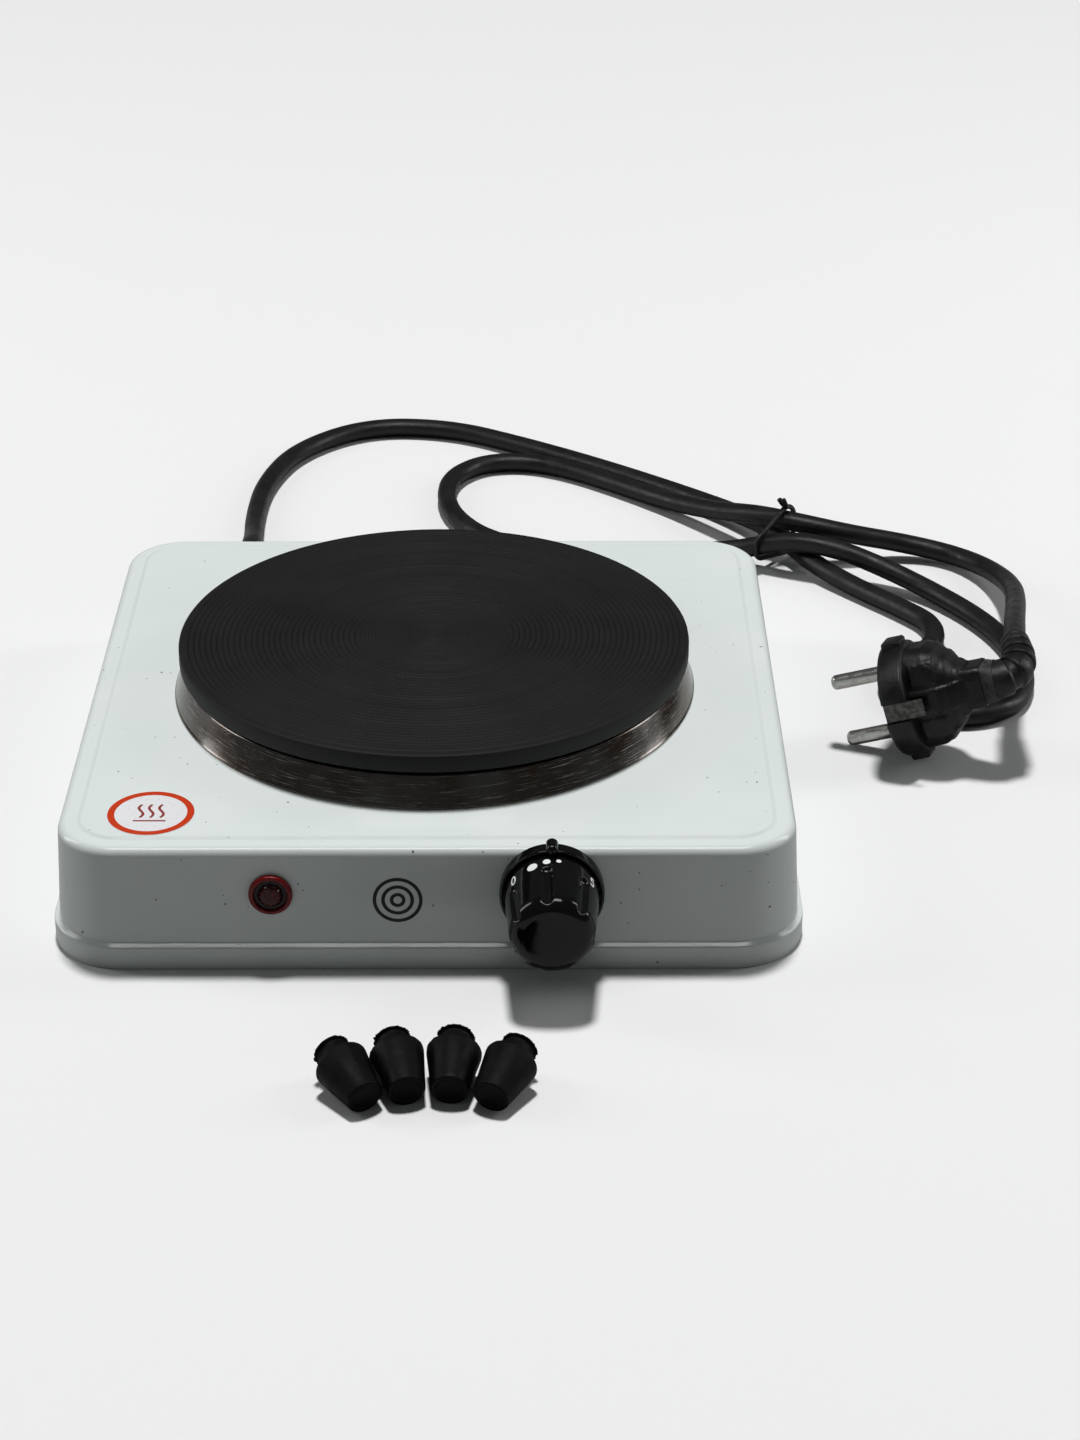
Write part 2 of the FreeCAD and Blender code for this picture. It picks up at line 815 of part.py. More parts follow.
def bushing_nut():
    flats = 2 * (bushing_radius + bushing_nut_wall)
    nut = hexagon(spindle_line(bezel_front_y), FRONT, flats, bushing_nut_height)
    return nut.cut(rod(spindle_line(bezel_front_y + 1), FRONT, bushing_radius, bushing_nut_height + 2))


def knob_bezel():
    plate = rod(spindle_line(bezel_front_y), BACK, bezel_radius, 6)
    rim_depth = bezel_rim_height - bezel_plate
    rim = tube(spindle_line(bezel_front_y), FRONT, bezel_radius, bezel_radius - bezel_rim, rim_depth)
    bezel = plate.fuse(rim)
    nub_at = spindle_line(bezel_front_y + 1) + UP * (bezel_radius + pointer_radius * 0.55)
    nub = rod(nub_at, FRONT, pointer_radius, pointer_length)
    nub = nub.fuse(Part.makeSphere(pointer_radius, nub_at + FRONT * pointer_length))
    knob_room = rod(spindle_line(bezel_front_y), FRONT, bezel_radius - bezel_rim, 12)
    bezel = bezel.fuse(nub.cut(knob_room)).cut(outer_form)
    hole = rod(spindle_line(bezel_front_y - 5), BACK, bushing_radius + fit_gap, 20)
    return bezel.cut(hole).removeSplitter()


def spindle():
    collar_front = frame_back_y + bushing_flange + bushing_end_gap
    front_y = knob_rear_y - spindle_into_knob
    shaft = rod(spindle_line(front_y), BACK, spindle_radius, collar_front - front_y)
    flat = box(
        knob_x - 5, knob_x + 5, front_y - 1, front_y + clip_length + 1,
        knob_z + spindle_flat, knob_z + 5,
    )
    collar = rod(spindle_line(collar_front), BACK, spindle_radius + spindle_collar_lip, spindle_collar)
    tip_length = levels[1] - bushing_end_gap - collar_front - spindle_collar
    tip = rod(spindle_line(collar_front + spindle_collar), BACK, tip_pin_radius, tip_length)
    return shaft.cut(flat).fuse(collar).fuse(tip).removeSplitter()


def knob_clip():
    front_y = knob_rear_y - spindle_into_knob
    return box(
        knob_x - clip_width / 2, knob_x + clip_width / 2, front_y, front_y + clip_length,
        knob_z + spindle_flat, knob_z + spindle_flat + clip_sheet,
    )


def knob_side(depth):
    """Outer radius of the knob at a depth behind its front, on the tapered side."""
    share = depth / (knob_length - knob_skirt)
    return knob_front_radius + (knob_rear_radius - knob_front_radius) * min(share, 1.0)


def knob():
    crown = knob_edge_radius
    outline = [V(0, 0, 0), V(knob_front_radius - crown, 0, 0)]
    arc_middle = V(knob_front_radius - crown * (1 - math.sin(math.radians(45))), 0,
                   crown * (1 - math.cos(math.radians(45))))
    arc_end = V(knob_side(crown), 0, crown)
    rear = knob_length
    hollow = rear - knob_wall * 2
    roof = rear - hollow + 1.5
    hub_radius = spindle_radius + knob_hub_wall
    bore_depth = rear - spindle_into_knob
    edges = [
        Part.LineSegment(outline[0], outline[1]).toShape(),
        Part.Arc(outline[1], arc_middle, arc_end).toShape(),
    ]
    rest = [
        arc_end,
        V(knob_rear_radius, 0, rear - knob_skirt),
        V(knob_rear_radius, 0, rear),
        V(knob_rear_radius - knob_wall, 0, rear),
        V(knob_side(rear - hollow) - knob_wall, 0, roof),
        V(hub_radius, 0, roof),
        V(hub_radius, 0, rear - knob_hub_recess),
        V(0, 0, rear - knob_hub_recess),
        outline[0],
    ]
    edges += [Part.LineSegment(a, b).toShape() for a, b in zip(rest, rest[1:])]
    body = Part.Face(Part.Wire(edges)).revolve(V(0, 0, 0), UP, 360)
    bore = rod(V(0, 0, bore_depth), UP, spindle_radius, spindle_into_knob)
    body.Placement = FreeCAD.Placement(spindle_line(knob_front_y), FreeCAD.Rotation(UP, BACK))
    bore.Placement = body.Placement
    over_flat = box(
        knob_x - 5, knob_x + 5, knob_front_y, knob_rear_y - spindle_into_knob + clip_length,
        knob_z + spindle_flat + clip_sheet, knob_z + 5,
    )
    body = body.cut(bore.cut(over_flat))
    for i in range(flute_count):
        turn = math.radians(flute_angle + i * 360.0 / flute_count)
        outward = V(math.sin(turn), 0, math.cos(turn))
        start_radius = knob_side(knob_length - flute_start) - flute_depth
        start = spindle_line(knob_rear_y - flute_start) + outward * start_radius
        end = spindle_line(knob_front_y - 1) + outward * (knob_front_radius - flute_depth)
        way = (end - start).normalize()
        across = way.cross(outward)
        rise = across.cross(way)
        slot = box(0, knob_length, -flute_width / 2, flute_width / 2, 0, 5)
        slot = slot.fuse(rod(V(0, 0, 0), UP, flute_width / 2, 5)).removeSplitter()
        slot.Placement = FreeCAD.Placement(FreeCAD.Matrix(
            way.x, across.x, rise.x, start.x,
            way.y, across.y, rise.y, start.y,
            way.z, across.z, rise.z, start.z,
            0, 0, 0, 1,
        ))
        body = body.cut(slot)
    return body


# ---- indicator lamp ----


def lamp_line(y):
    return V(lamp_x, y, lamp_z)


lens_front_y = lamp_wall_y - lens_rim
lens_back_y = lamp_wall_y + lens_depth
bulb_back_y = lens_back_y - 1.0


def lamp_lens():
    rim = rod(lamp_line(lens_front_y), BACK, lens_radius + lens_rim_width, 4).cut(outer_form)
    barrel = rod(lamp_line(lens_front_y), BACK, lens_radius, lens_back_y - lens_front_y)
    ball_radius = (lens_radius ** 2 + lens_dome ** 2) / (2 * lens_dome)
    ball = Part.makeSphere(ball_radius, lamp_line(lens_front_y - lens_dome + ball_radius))
    dome = ball.common(rod(lamp_line(lens_front_y - lens_dome - 1), BACK, lens_radius, lens_dome + 1))
    hollow = rod(lamp_line(lens_front_y + 0.4), BACK, lens_radius - lens_wall, lens_depth + 3)
    return rim.fuse(barrel).fuse(dome).cut(hollow).removeSplitter()


def lamp_holder():
    barrel = rod(lamp_line(lens_back_y), BACK, lens_radius, holder_length)
    plug = rod(lamp_line(lens_back_y - 3), BACK, lens_radius - lens_wall, 3)
    bore = rod(lamp_line(lens_back_y - 3), BACK, bulb_radius, 3 + 1)
    room = rod(lamp_line(lens_back_y + 1), BACK, lens_radius - lens_wall, holder_length - 1)
    return barrel.fuse(plug).cut(bore).cut(room).removeSplitter()


def neon_bulb():
    front = lens_back_y + 1 - bulb_length
    glass = rod(lamp_line(front), BACK, bulb_radius, bulb_length)
    tip = [e for e in glass.Edges if abs(e.BoundBox.YMax - front) < 0.01]
    return glass.makeFillet(bulb_radius * 0.6, tip)


def lamp_resistor():
    return rod(lamp_line(lens_back_y + 1.0), BACK, resistor_radius, resistor_length)


def lamp_clip():
    y = lamp_wall_y + sheet + 0.5
    outer = lens_radius + lamp_clip_width
    clip = tube(lamp_line(y - 2), BACK, outer, lens_radius, 2 + lamp_clip_sheet)
    return clip.common(cavity)


# ---- cord entry ----


def cord_line(y):
    return V(cord_x, y, cord_z)


gland_end_y = cord_route[0].y
inner_cord_end_y = cord_wall_y - sheet - inner_cord_length
clamp_y = cord_wall_y - clamp_y_from_wall
clamp_half_span = cord_radius + clamp_shoulder
clamp_screws_at = [V(cord_x + s * (clamp_half_span - screw_head_radius), clamp_y, 0) for s in (-1, 1)]
block_screws_at = [V(block_x + s * (block_width / 2 - 1.9), block_y, 0) for s in (-1, 1)]


def cord_gland():
    flange = rod(cord_line(cord_wall_y - 2), BACK, cord_radius + gland_flange_width, gland_flange + 2)
    flange = flange.cut(outer_form)
    lip_back = cord_wall_y - sheet - gland_inner_lip
    lip = rod(cord_line(lip_back), BACK, gland_neck_radius + 1.2, gland_inner_lip + 2).common(cavity)
    neck = rod(cord_line(lip_back), BACK, gland_neck_radius, sheet + gland_inner_lip + gland_flange)
    tail_y = cord_wall_y + gland_flange
    root = cord_radius + gland_root_wall
    tip = cord_radius + gland_tail_wall
    tail = Part.makeCone(root, tip, gland_end_y - tail_y, cord_line(tail_y), BACK)
    gland = flange.fuse(lip).fuse(neck).fuse(tail)
    for i in range(4):
        y = tail_y + 4 + i * 4.5
        gland = gland.cut(tube(cord_line(y), BACK, root + 1, cord_radius + 1.0, 1.6))
    return gland.cut(rod(cord_line(lip_back - 1), BACK, cord_radius, 60)).removeSplitter()


def inner_cord():
    """The lead inside the gland and the clamp, up to where its sheath is stripped."""
    return rod(cord_line(inner_cord_end_y), BACK, cord_radius, gland_end_y - inner_cord_end_y)


clamp_top_z = cord_z + cord_radius + clamp_cap_sheet


def cord_clamp():
    y0 = clamp_y - clamp_width / 2
    y1 = clamp_y + clamp_width / 2
    x0 = cord_x - clamp_half_span
    x1 = cord_x + clamp_half_span
    bore = rod(cord_line(y0 - 1), BACK, cord_radius, clamp_width + 2)
    saddle = box(x0, x1, y0, y1, base_sheet, cord_z - 0.4).cut(bore)
    cap = box(x0, x1, y0, y1, cord_z + 0.4, clamp_top_z).cut(bore)
    for at in clamp_screws_at:
        shank = rod(at, UP, screw_radius, 40)
        saddle = saddle.cut(shank)
        cap = cap.cut(shank)
    return [saddle, cap]


def block_and_clamp_screws():
    screws = []
    for at in clamp_screws_at:
        shank = rod(V(at.x, at.y, base_sheet), UP, screw_radius, clamp_top_z - base_sheet)
        head = rod(V(at.x, at.y, clamp_top_z), UP, 2.8, 1.8)
        screws.append(shank.fuse(head))
    for at in block_screws_at:
        shank = rod(V(at.x, at.y, 0.1), UP, screw_radius, block_height + base_sheet - 0.1)
        head = rod(V(at.x, at.y, base_sheet + block_height), UP, 1.8, 1.2)
        screws.append(shank.fuse(head))
    return screws


pole_z = base_sheet + block_height * 0.5
poles_x = [block_x + i * pole_pitch for i in (-1, 0, 1)]


def terminal_block():
    block = box(
        block_x - block_width / 2, block_x + block_width / 2,
        block_y - block_depth / 2, block_y + block_depth / 2,
        base_sheet, base_sheet + block_height,
    )
    for x in poles_x:
        block = block.cut(rod(V(x, block_y - block_depth, pole_z), BACK, pole_radius, 2 * block_depth))
        block = block.cut(rod(V(x, block_y, pole_z), UP, pole_screw_radius + 0.9, block_height))
    for at in block_screws_at:
        block = block.cut(rod(at, UP, screw_radius, block_height + 2))
    return block


def terminal_poles():
    """Brass sleeves, each with its clamping screw."""
    poles = []
    for x in poles_x:
        base = V(x, block_y - block_depth / 2 + 1, pole_z)
        sleeve = tube(base, BACK, pole_radius, wire_radius + 0.15, block_depth - 2)
        poles.append(sleeve.cut(rod(V(x, block_y, pole_z), UP, pole_screw_radius, pole_radius + 1)))
        base = V(x, block_y, pole_z + wire_radius + 0.05)
        poles.append(rod(base, UP, pole_screw_radius, block_height * 0.5 - wire_radius - 1.2))
    return poles


def earth_screw():
    shank = rod(V(earth_x, earth_y, 0.1), UP, screw_radius, 8)
    nut = hexagon(V(earth_x, earth_y, base_sheet), UP, 5.5, 2.4)
    upper = tube(V(earth_x, earth_y, base_sheet + 2.4), UP, 3.4, screw_radius, 0.8)
    return shank.fuse(nut.cut(shank)).fuse(upper).removeSplitter()


# ---- wiring inside the body ----

sleeve_back_y = block_y + block_depth / 2 - 1
tab_mid_x = stack_at_x + stack_radius + blade_tab - 2.5


def wire(points):
    solid, length, radii = swept_cord(points, wire_radius)
    return solid


def wire_live():
    start = V(cord_x + core_offset, inner_cord_end_y, cord_z - 1.0)
    end = V(poles_x[1], block_y + 1, pole_z)
    return wire([start, start + FRONT * 10, V(poles_x[1], sleeve_back_y + 10, pole_z), end])


def wire_neutral():
    start = V(cord_x, inner_cord_end_y, cord_z + core_offset)
    return wire([
        start, start + FRONT * 5, V(-60.0, 66.0, 15.5),
        V(poles_x[2], sleeve_back_y + 8, pole_z), V(poles_x[2], block_y + 1, pole_z),
    ])


def wire_earth():
    start = V(cord_x - core_offset, inner_cord_end_y, cord_z - 1.0)
    end = V(earth_x, earth_y + 3.4, base_sheet + 2.8)
    return wire([start, start + FRONT * 9, V(-90.0, 62.0, 8.0), V(-93.0, 40.0, 5.0), end])


def lead_thermostat():
    """From the live pole to the adjusting blade's tab."""
    end = V(tab_mid_x, levels[1] - wire_radius, knob_z)
    return wire([
        V(poles_x[1], block_y - 1, pole_z), V(poles_x[1], 26, pole_z), V(-50, 4, 5), V(-20, -52, 5.5),
        V(22, -78, 6.5), V(62, -80, 10), V(81, -88, 15),
        V(tab_mid_x + 1.5, levels[1] - wire_radius, 17.5), end,
    ])


def lead_heater_live():
    """From the contact blade's tab to the outer coil's terminal."""
    y = levels[3] + contact_blade_sheet + wire_radius
    tab_y = plate_y - outer_coil - pin_radius - tab_gap - tab_thickness - wire_radius
    low = cover_z - plate_block_height - tab_length
    return wire([
        V(tab_mid_x, y, knob_z - 2), V(tab_mid_x - 1, y + 4, 15), V(58, tab_y - 7.5, 11),
        V(30, tab_y - 1.5, 11), V(8, tab_y - 1.5, low - 11.2),
        V(1, tab_y - 0.5, low - 5), V(0, tab_y, low + 5),
    ])


def lead_heater_neutral():
    """From the neutral pole to the inner coil's terminal."""
    tab_y = plate_y - inner_coil + pin_radius + tab_gap + tab_thickness + wire_radius
    low = cover_z - plate_block_height - tab_length
    return wire([
        V(poles_x[2], block_y - 1, pole_z), V(poles_x[2], 26, pole_z), V(-36, -2, 13),
        V(-16, -26, 12), V(-2, tab_y + 1, low - 7), V(0, tab_y, low + 5),
    ])


def lamp_leads():
    leads = []
    back = lens_back_y + holder_length
    for side in (-1, 1):
        start = V(lamp_x + side * 2.4, lens_back_y + 1, lamp_z)
        leads.append(wire([
            start, V(start.x, back + 6, lamp_z), V(start.x + side * 3, back + 16, 15.5),
            V(start.x + side * 5, back + 30, 8.5 + side),
        ]))
    return leads


# ---- print and label ----


def caution_label():
    at = V(label_inset_x - body_width / 2, label_inset_y - body_depth / 2, panel_z)
    return rod(at, UP, label_radius, print_thickness)


def front_emblem():
    skin = body_form(-print_thickness).cut(outer_form)
    rings = []
    for radius in emblem_radii:
        ring = tube(V(emblem_x, -body_depth / 2 - 5, emblem_z), BACK, radius, radius - emblem_line, 20)
        rings.append(ring.common(skin))
    return rings


# ---- lead, tie and plug ----


def power_cord():
    solid, length, radii = swept_cord(cord_route, cord_radius)
    section = math.pi * cord_radius ** 2
    volumes = (length, solid.Volume, section * length)
    print("lead: length %.1f mm, volume %.1f, section x length %.1f" % volumes)
    print("lead: radii " + " ".join("%.0f" % r for r in radii))
    return solid


def band_wire(centres, radius):
    """A band stretched round circles, whose middles run anticlockwise."""
    edges = []
    count = len(centres)
    ways = [(centres[(i + 1) % count] - centres[i]).normalize() for i in range(count)]
    outward = [way.cross(UP) for way in ways]
    for i, centre in enumerate(centres):
        before = outward[i - 1]
        after = outward[i]
        middle = (before + after).normalize()
        points = [centre + n * radius for n in (before, middle, after)]
        edges.append(Part.Arc(*points).toShape())
        edges.append(Part.LineSegment(points[2], centres[(i + 1) % count] + after * radius).toShape())
    return Part.Wire(edges)


def cord_tie():
    """A loop of covered wire with its twisted end on top."""
    radius = cord_radius + tie_slack + tie_wire
    band = band_wire([V(side, height, 0) for side, height in tie_strands], radius)
    first = band.Edges[0]
    start = first.valueAt(first.FirstParameter)
    section = Part.Wire(Part.Circle(start, first.tangentAt(first.FirstParameter), tie_wire).toShape())
    loop = band.makePipeShell([section], True, False)
    top = V(tie_strands[1][0], tie_strands[1][1] + radius, 0)
    tail = rod(top, V(-0.8, 0.6, 0), tie_wire * 1.3, tie_tail_length)
    loop = loop.fuse(tail).removeSplitter()
    turn = FreeCAD.Rotation(UP, tie_heading)
    along = turn.multVec(V(1, 0, 0))
    aside = turn.multVec(V(0, 1, 0))
    loop.Placement = FreeCAD.Placement(FreeCAD.Matrix(
        aside.x, 0, along.x, tie_at.x,
        aside.y, 0, along.y, tie_at.y,
        0, 1, 0, tie_at.z,
        0, 0, 0, 1,
    ))
    return loop


def plug_frame():
    heading = math.radians(plug_heading)
    pitch = math.radians(plug_pitch)
    roll = math.radians(plug_roll)
    axis = V(math.cos(heading) * math.cos(pitch), math.sin(heading) * math.cos(pitch), math.sin(pitch))
    side = (axis * -1).cross(UP).normalize()
    up = side.cross(axis * -1)
    pin_line = up * math.cos(roll) + side * math.sin(roll)
    across = axis.cross(pin_line)
    matrix = FreeCAD.Matrix(
        pin_line.x, across.x, axis.x, plug_face.x,
        pin_line.y, across.y, axis.y, plug_face.y,
        pin_line.z, across.z, axis.z, plug_face.z,
        0, 0, 0, 1,
    )
    return FreeCAD.Placement(matrix)


def at_plug(shape):
    shape.Placement = plug_frame().multiply(shape.Placement)
    return shape


def plug_body():
    disc = rod(V(0, 0, 0), UP, plug_face_radius, plug_disc)
    taper_length = plug_waist_z - plug_disc
    taper = Part.makeCone(plug_face_radius - 2.0, plug_waist_radius, taper_length, V(0, 0, plug_disc), UP)
    sides = box(-30, 30, -plug_grip_half, plug_grip_half, plug_disc, plug_waist_z)
    half = plug_collar / 2
    collar = box(-half, half, -half, half, plug_waist_z - 1, plug_waist_z + plug_collar_length)
    collar = collar.makeFillet(2.2, [e for e in collar.Edges if e.BoundBox.ZLength > 1])
    body = disc.fuse(taper.common(sides)).fuse(collar)
    for side in (-1, 1):
        y0, y1 = sorted((side * (plug_face_radius - earth_depth), side * (plug_face_radius + 2)))
        body = body.cut(box(-earth_width / 2, earth_width / 2, y0, y1, -1, earth_length))
        body = body.cut(rod(V(side * plug_pin_pitch / 2, 0, 0), UP, plug_pin_radius, plug_pin_root))
    return at_plug(body.removeSplitter())


def plug_pins():
    pins = []
    for side in (-1, 1):
        base = V(side * plug_pin_pitch / 2, 0, -plug_pin_length)
        pin = rod(base, UP, plug_pin_radius, plug_pin_length + plug_pin_root)
        tip = [e for e in pin.Edges if e.BoundBox.ZMax < -plug_pin_length + 0.1]
        pins.append(at_plug(pin.makeFillet(1.6, tip)))
    return pins


def plug_earth_contacts():
    strips = []
    for side in (-1, 1):
        inner = plug_face_radius - earth_depth
        y0, y1 = sorted((side * inner, side * (inner + earth_sheet)))
        strip = box(-earth_width / 2 + 0.4, earth_width / 2 - 0.4, y0, y1, 0.6, earth_length)
        strips.append(at_plug(strip))
    return strips


def plug_strain_relief():
    place = plug_frame()
    root = place.multVec(V(0, 0, plug_waist_z + plug_collar_length))
    end = cord_route[-1]
    spine = Part.BSplineCurve()
    spine.interpolate([root] + list(relief_points) + [end])
    edge = spine.toShape()
    start_way = place.Rotation.multVec(UP)
    end_way = (cord_route[-2] - end).normalize()
    rings = []
    steps = relief_ribs * 2 + 1
    for i in range(steps + 1):
        share = i / steps
        u = spine.parameterAtDistance(edge.Length * share, spine.FirstParameter)
        way = V(*spine.tangent(u)[0])
        if i == 0:
            way = start_way
        if i == steps:
            way = end_way
        radius = cord_radius + relief_root_wall + (relief_tip_wall - relief_root_wall) * share
        if i % 2 == 0 and i > 0:
            radius -= relief_rib_depth
        rings.append(Part.Wire(Part.Circle(spine.value(u), way, radius).toShape()))
    return Part.makeLoft(rings, True, True)


# ---- feet ----


def foot(x, y, heading):
    body_end = foot_body_length
    neck_end = body_end + foot_neck_length
    outline = (
        (0, 0),
        (foot_small_radius - foot_round, 0),
        (foot_small_radius, foot_round),
        (foot_big_radius, body_end - foot_round),
        (foot_big_radius - foot_round, body_end),
        (foot_neck_radius, body_end),
        (foot_neck_radius, neck_end),
        (foot_lip_radius, neck_end),
        (foot_neck_radius - 0.4, neck_end + foot_lip),
        (0, neck_end + foot_lip),
    )
    # it lies on the slope from its big end to its small end
    slope = math.atan2(foot_big_radius - foot_small_radius, body_end - 2 * foot_round)
    turn = math.radians(heading)
    way = V(math.cos(turn) * math.cos(slope), math.sin(turn) * math.cos(slope), math.sin(slope))
    rest_z = foot_small_radius * math.cos(slope) - foot_round * math.sin(slope)
    return spin(outline, V(x, y, rest_z), way)


# ---- write the parts ----

parts = {
    "housing_shell": housing_shell,
    "base_plate": base_plate,
    "corner_brackets": corner_brackets,
    "base_screws": base_screws,
    "hotplate_casting": hotplate_casting,
    "trim_ring": trim_ring,
    "heating_coil": heating_coil,
    "element_insulation": element_insulation,
    "heater_cover": heater_cover,
    "plate_terminal_block": plate_terminal_block,
    "plate_terminals": plate_terminals,
    "center_stud": center_stud,
    "clamp_bridge": clamp_bridge,
    "heat_shield": heat_shield,
    "stud_washer": stud_washer,
    "stud_nut": stud_nut,
    "thermostat_frame": thermostat_frame,
    "thermostat_ceramics": thermostat_ceramics,
    "adjusting_blade": adjusting_blade,
    "contact_blade": contact_blade,
    "bimetal_strip": bimetal_strip,
    "contact_points": contact_points,
    "stack_rivet": stack_rivet,
    "thermostat_bushing": thermostat_bushing,
    "bushing_nut": bushing_nut,
    "knob_bezel": knob_bezel,
    "spindle": spindle,
    "knob_clip": knob_clip,
    "knob": knob,
    "lamp_lens": lamp_lens,
    "lamp_holder": lamp_holder,
    "neon_bulb": neon_bulb,
    "lamp_resistor": lamp_resistor,
    "lamp_clip": lamp_clip,
    "cord_gland": cord_gland,
    "inner_cord": inner_cord,
    "cord_clamp": cord_clamp,
    "block_and_clamp_screws": block_and_clamp_screws,
    "terminal_block": terminal_block,
    "terminal_poles": terminal_poles,
    "earth_screw": earth_screw,
    "wire_live": wire_live,
    "wire_neutral": wire_neutral,
    "wire_earth": wire_earth,
    "lead_thermostat": lead_thermostat,
    "lead_heater_live": lead_heater_live,
    "lead_heater_neutral": lead_heater_neutral,
    "lamp_leads": lamp_leads,
    "caution_label": caution_label,
    "front_emblem": front_emblem,
    "power_cord": power_cord,
    "cord_tie": cord_tie,
    "plug_body": plug_body,
    "plug_pins": plug_pins,
    "plug_earth_contacts": plug_earth_contacts,
    "plug_strain_relief": plug_strain_relief,
}

os.makedirs("parts", exist_ok=True)
for name, make in parts.items():
    shape = make()
    if isinstance(shape, list):
        shape = Part.makeCompound(shape)
    shape.exportStep("parts/%s.step" % name)
    print(name, len(shape.Solids), shape.isValid())

for number, (x, y, heading) in enumerate(foot_places, 1):
    shape = foot(x, y, heading)
    shape.exportStep("parts/foot_%d.step" % number)
    print("foot_%d" % number, len(shape.Solids), shape.isValid())
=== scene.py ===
import bpy
import bmesh
from math import atan2, copysign, cos, dist, exp, log1p, radians, sin, sqrt, tan, tau
from mathutils import Matrix, Vector, noise


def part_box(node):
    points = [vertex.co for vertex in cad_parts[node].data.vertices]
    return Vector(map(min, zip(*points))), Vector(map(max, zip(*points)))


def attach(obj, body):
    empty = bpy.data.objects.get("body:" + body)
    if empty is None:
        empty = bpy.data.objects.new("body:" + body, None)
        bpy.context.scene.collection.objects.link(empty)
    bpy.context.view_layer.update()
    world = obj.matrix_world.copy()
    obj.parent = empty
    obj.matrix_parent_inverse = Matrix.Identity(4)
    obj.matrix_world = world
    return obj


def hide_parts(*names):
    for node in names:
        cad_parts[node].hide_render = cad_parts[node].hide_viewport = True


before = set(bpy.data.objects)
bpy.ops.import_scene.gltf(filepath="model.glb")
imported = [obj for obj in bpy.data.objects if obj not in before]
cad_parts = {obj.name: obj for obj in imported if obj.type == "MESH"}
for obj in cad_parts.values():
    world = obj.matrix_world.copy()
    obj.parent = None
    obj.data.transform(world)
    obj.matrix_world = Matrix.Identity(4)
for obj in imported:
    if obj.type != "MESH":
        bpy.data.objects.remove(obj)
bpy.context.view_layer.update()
print("frame loaded with", len(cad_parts), "nodes")

mm = 0.001
stage = bpy.context.scene
up = Vector((0, 0, 1))
right = Vector((1, 0, 0))
back = Vector((0, 1, 0))


# mesh tools: shapes are worked out in millimetres and made in metres

def makePiece(name, vertices, faces, sharp=35):
    mesh = bpy.data.meshes.new(name)
    mesh.from_pydata([Vector(v) * mm for v in vertices], [], faces)
    work = bmesh.new()
    work.from_mesh(mesh)
    bmesh.ops.remove_doubles(work, verts=work.verts, dist=2e-7)
    bmesh.ops.recalc_face_normals(work, faces=work.faces)
    work.to_mesh(mesh)
    work.free()
    piece = bpy.data.objects.new(name, mesh)
    stage.collection.objects.link(piece)
    smoothed(piece, sharp)
    return piece


def smoothed(piece, sharp=35):
    piece.data.shade_smooth()
    piece.data.set_sharp_from_angle(angle=radians(sharp))


def bakedDown(piece):
    # what the modifiers make becomes the piece's own mesh
    graph = bpy.context.evaluated_depsgraph_get()
    mesh = bpy.data.meshes.new_from_object(piece.evaluated_get(graph))
    piece.modifiers.clear()
    piece.data = mesh


def carved(piece, cutters, operation="DIFFERENCE", sharp=35):
    for cutter in cutters:
        step = piece.modifiers.new("carve", "BOOLEAN")
        step.object = cutter
        step.operation = operation
        step.solver = "EXACT"
    bakedDown(piece)
    for cutter in cutters:
        bpy.data.objects.remove(cutter)
    smoothed(piece, sharp)


def basis(origin, x, y, z):
    matrix = Matrix((x, y, z)).transposed().to_4x4()
    matrix.translation = origin
    return matrix


def roundedLine(corners, steps=5, closed=False):
    # corners are (x, y) or (x, y, radius); a radius becomes an arc
    points = []
    count = len(corners)
    for i, corner in enumerate(corners):
        here = Vector(corner[:2])
        radius = corner[2] if len(corner) > 2 else 0
        if not radius or (not closed and i in (0, count - 1)):
            points.append(here)
            continue
        toBefore = Vector(corners[i - 1][:2]) - here
        toAfter = Vector(corners[(i + 1) % count][:2]) - here
        room = 0.49 * min(toBefore.length, toAfter.length)
        toBefore.normalize()
        toAfter.normalize()
        half = toBefore.angle(toAfter) / 2
        if half < 0.01 or half > 1.56:
            points.append(here)
            continue
        reach = min(radius / tan(half), room)
        radius = reach * tan(half)
        middle = here + (toBefore + toAfter).normalized() * (radius / sin(half))
        first = here + toBefore * reach - middle
        last = here + toAfter * reach - middle
        turn = atan2(first.x * last.y - first.y * last.x, first.dot(last))
        for k in range(steps + 1):
            points.append(middle + Matrix.Rotation(turn * k / steps, 2) @ first)
    return points


def gridFaces(rows, count, closed):
    faces = []
    for j in range(rows if closed else rows - 1):
        for i in range(count):
            k = (i + 1) % count
            n = (j + 1) % rows
            faces.append((j * count + i, j * count + k, n * count + k, n * count + i))
    return faces


def spun(name, outline, place, segments=128, ring=False, shape=None, sharp=35):
    # outline is (radius, height) pairs; shape changes a radius and height at an angle
    vertices = []
    for radius, height in outline:
        for i in range(segments):
            angle = tau * i / segments
            r, h = shape(radius, height, angle) if shape else (radius, height)
            vertices.append(place @ Vector((r * cos(angle), r * sin(angle), h)))
    return makePiece(name, vertices, gridFaces(len(outline), segments, ring), sharp)


def lofted(name, rings, closed=False, sharp=35):
    # rings are lists of as many points each; both ends are capped unless closed
    count = len(rings[0])
    faces = gridFaces(len(rings), count, closed)
    if not closed:
        faces.append(tuple(range(count)))
        faces.append(tuple(range((len(rings) - 1) * count, len(rings) * count)))
    return makePiece(name, [p for ring in rings for p in ring], faces, sharp)


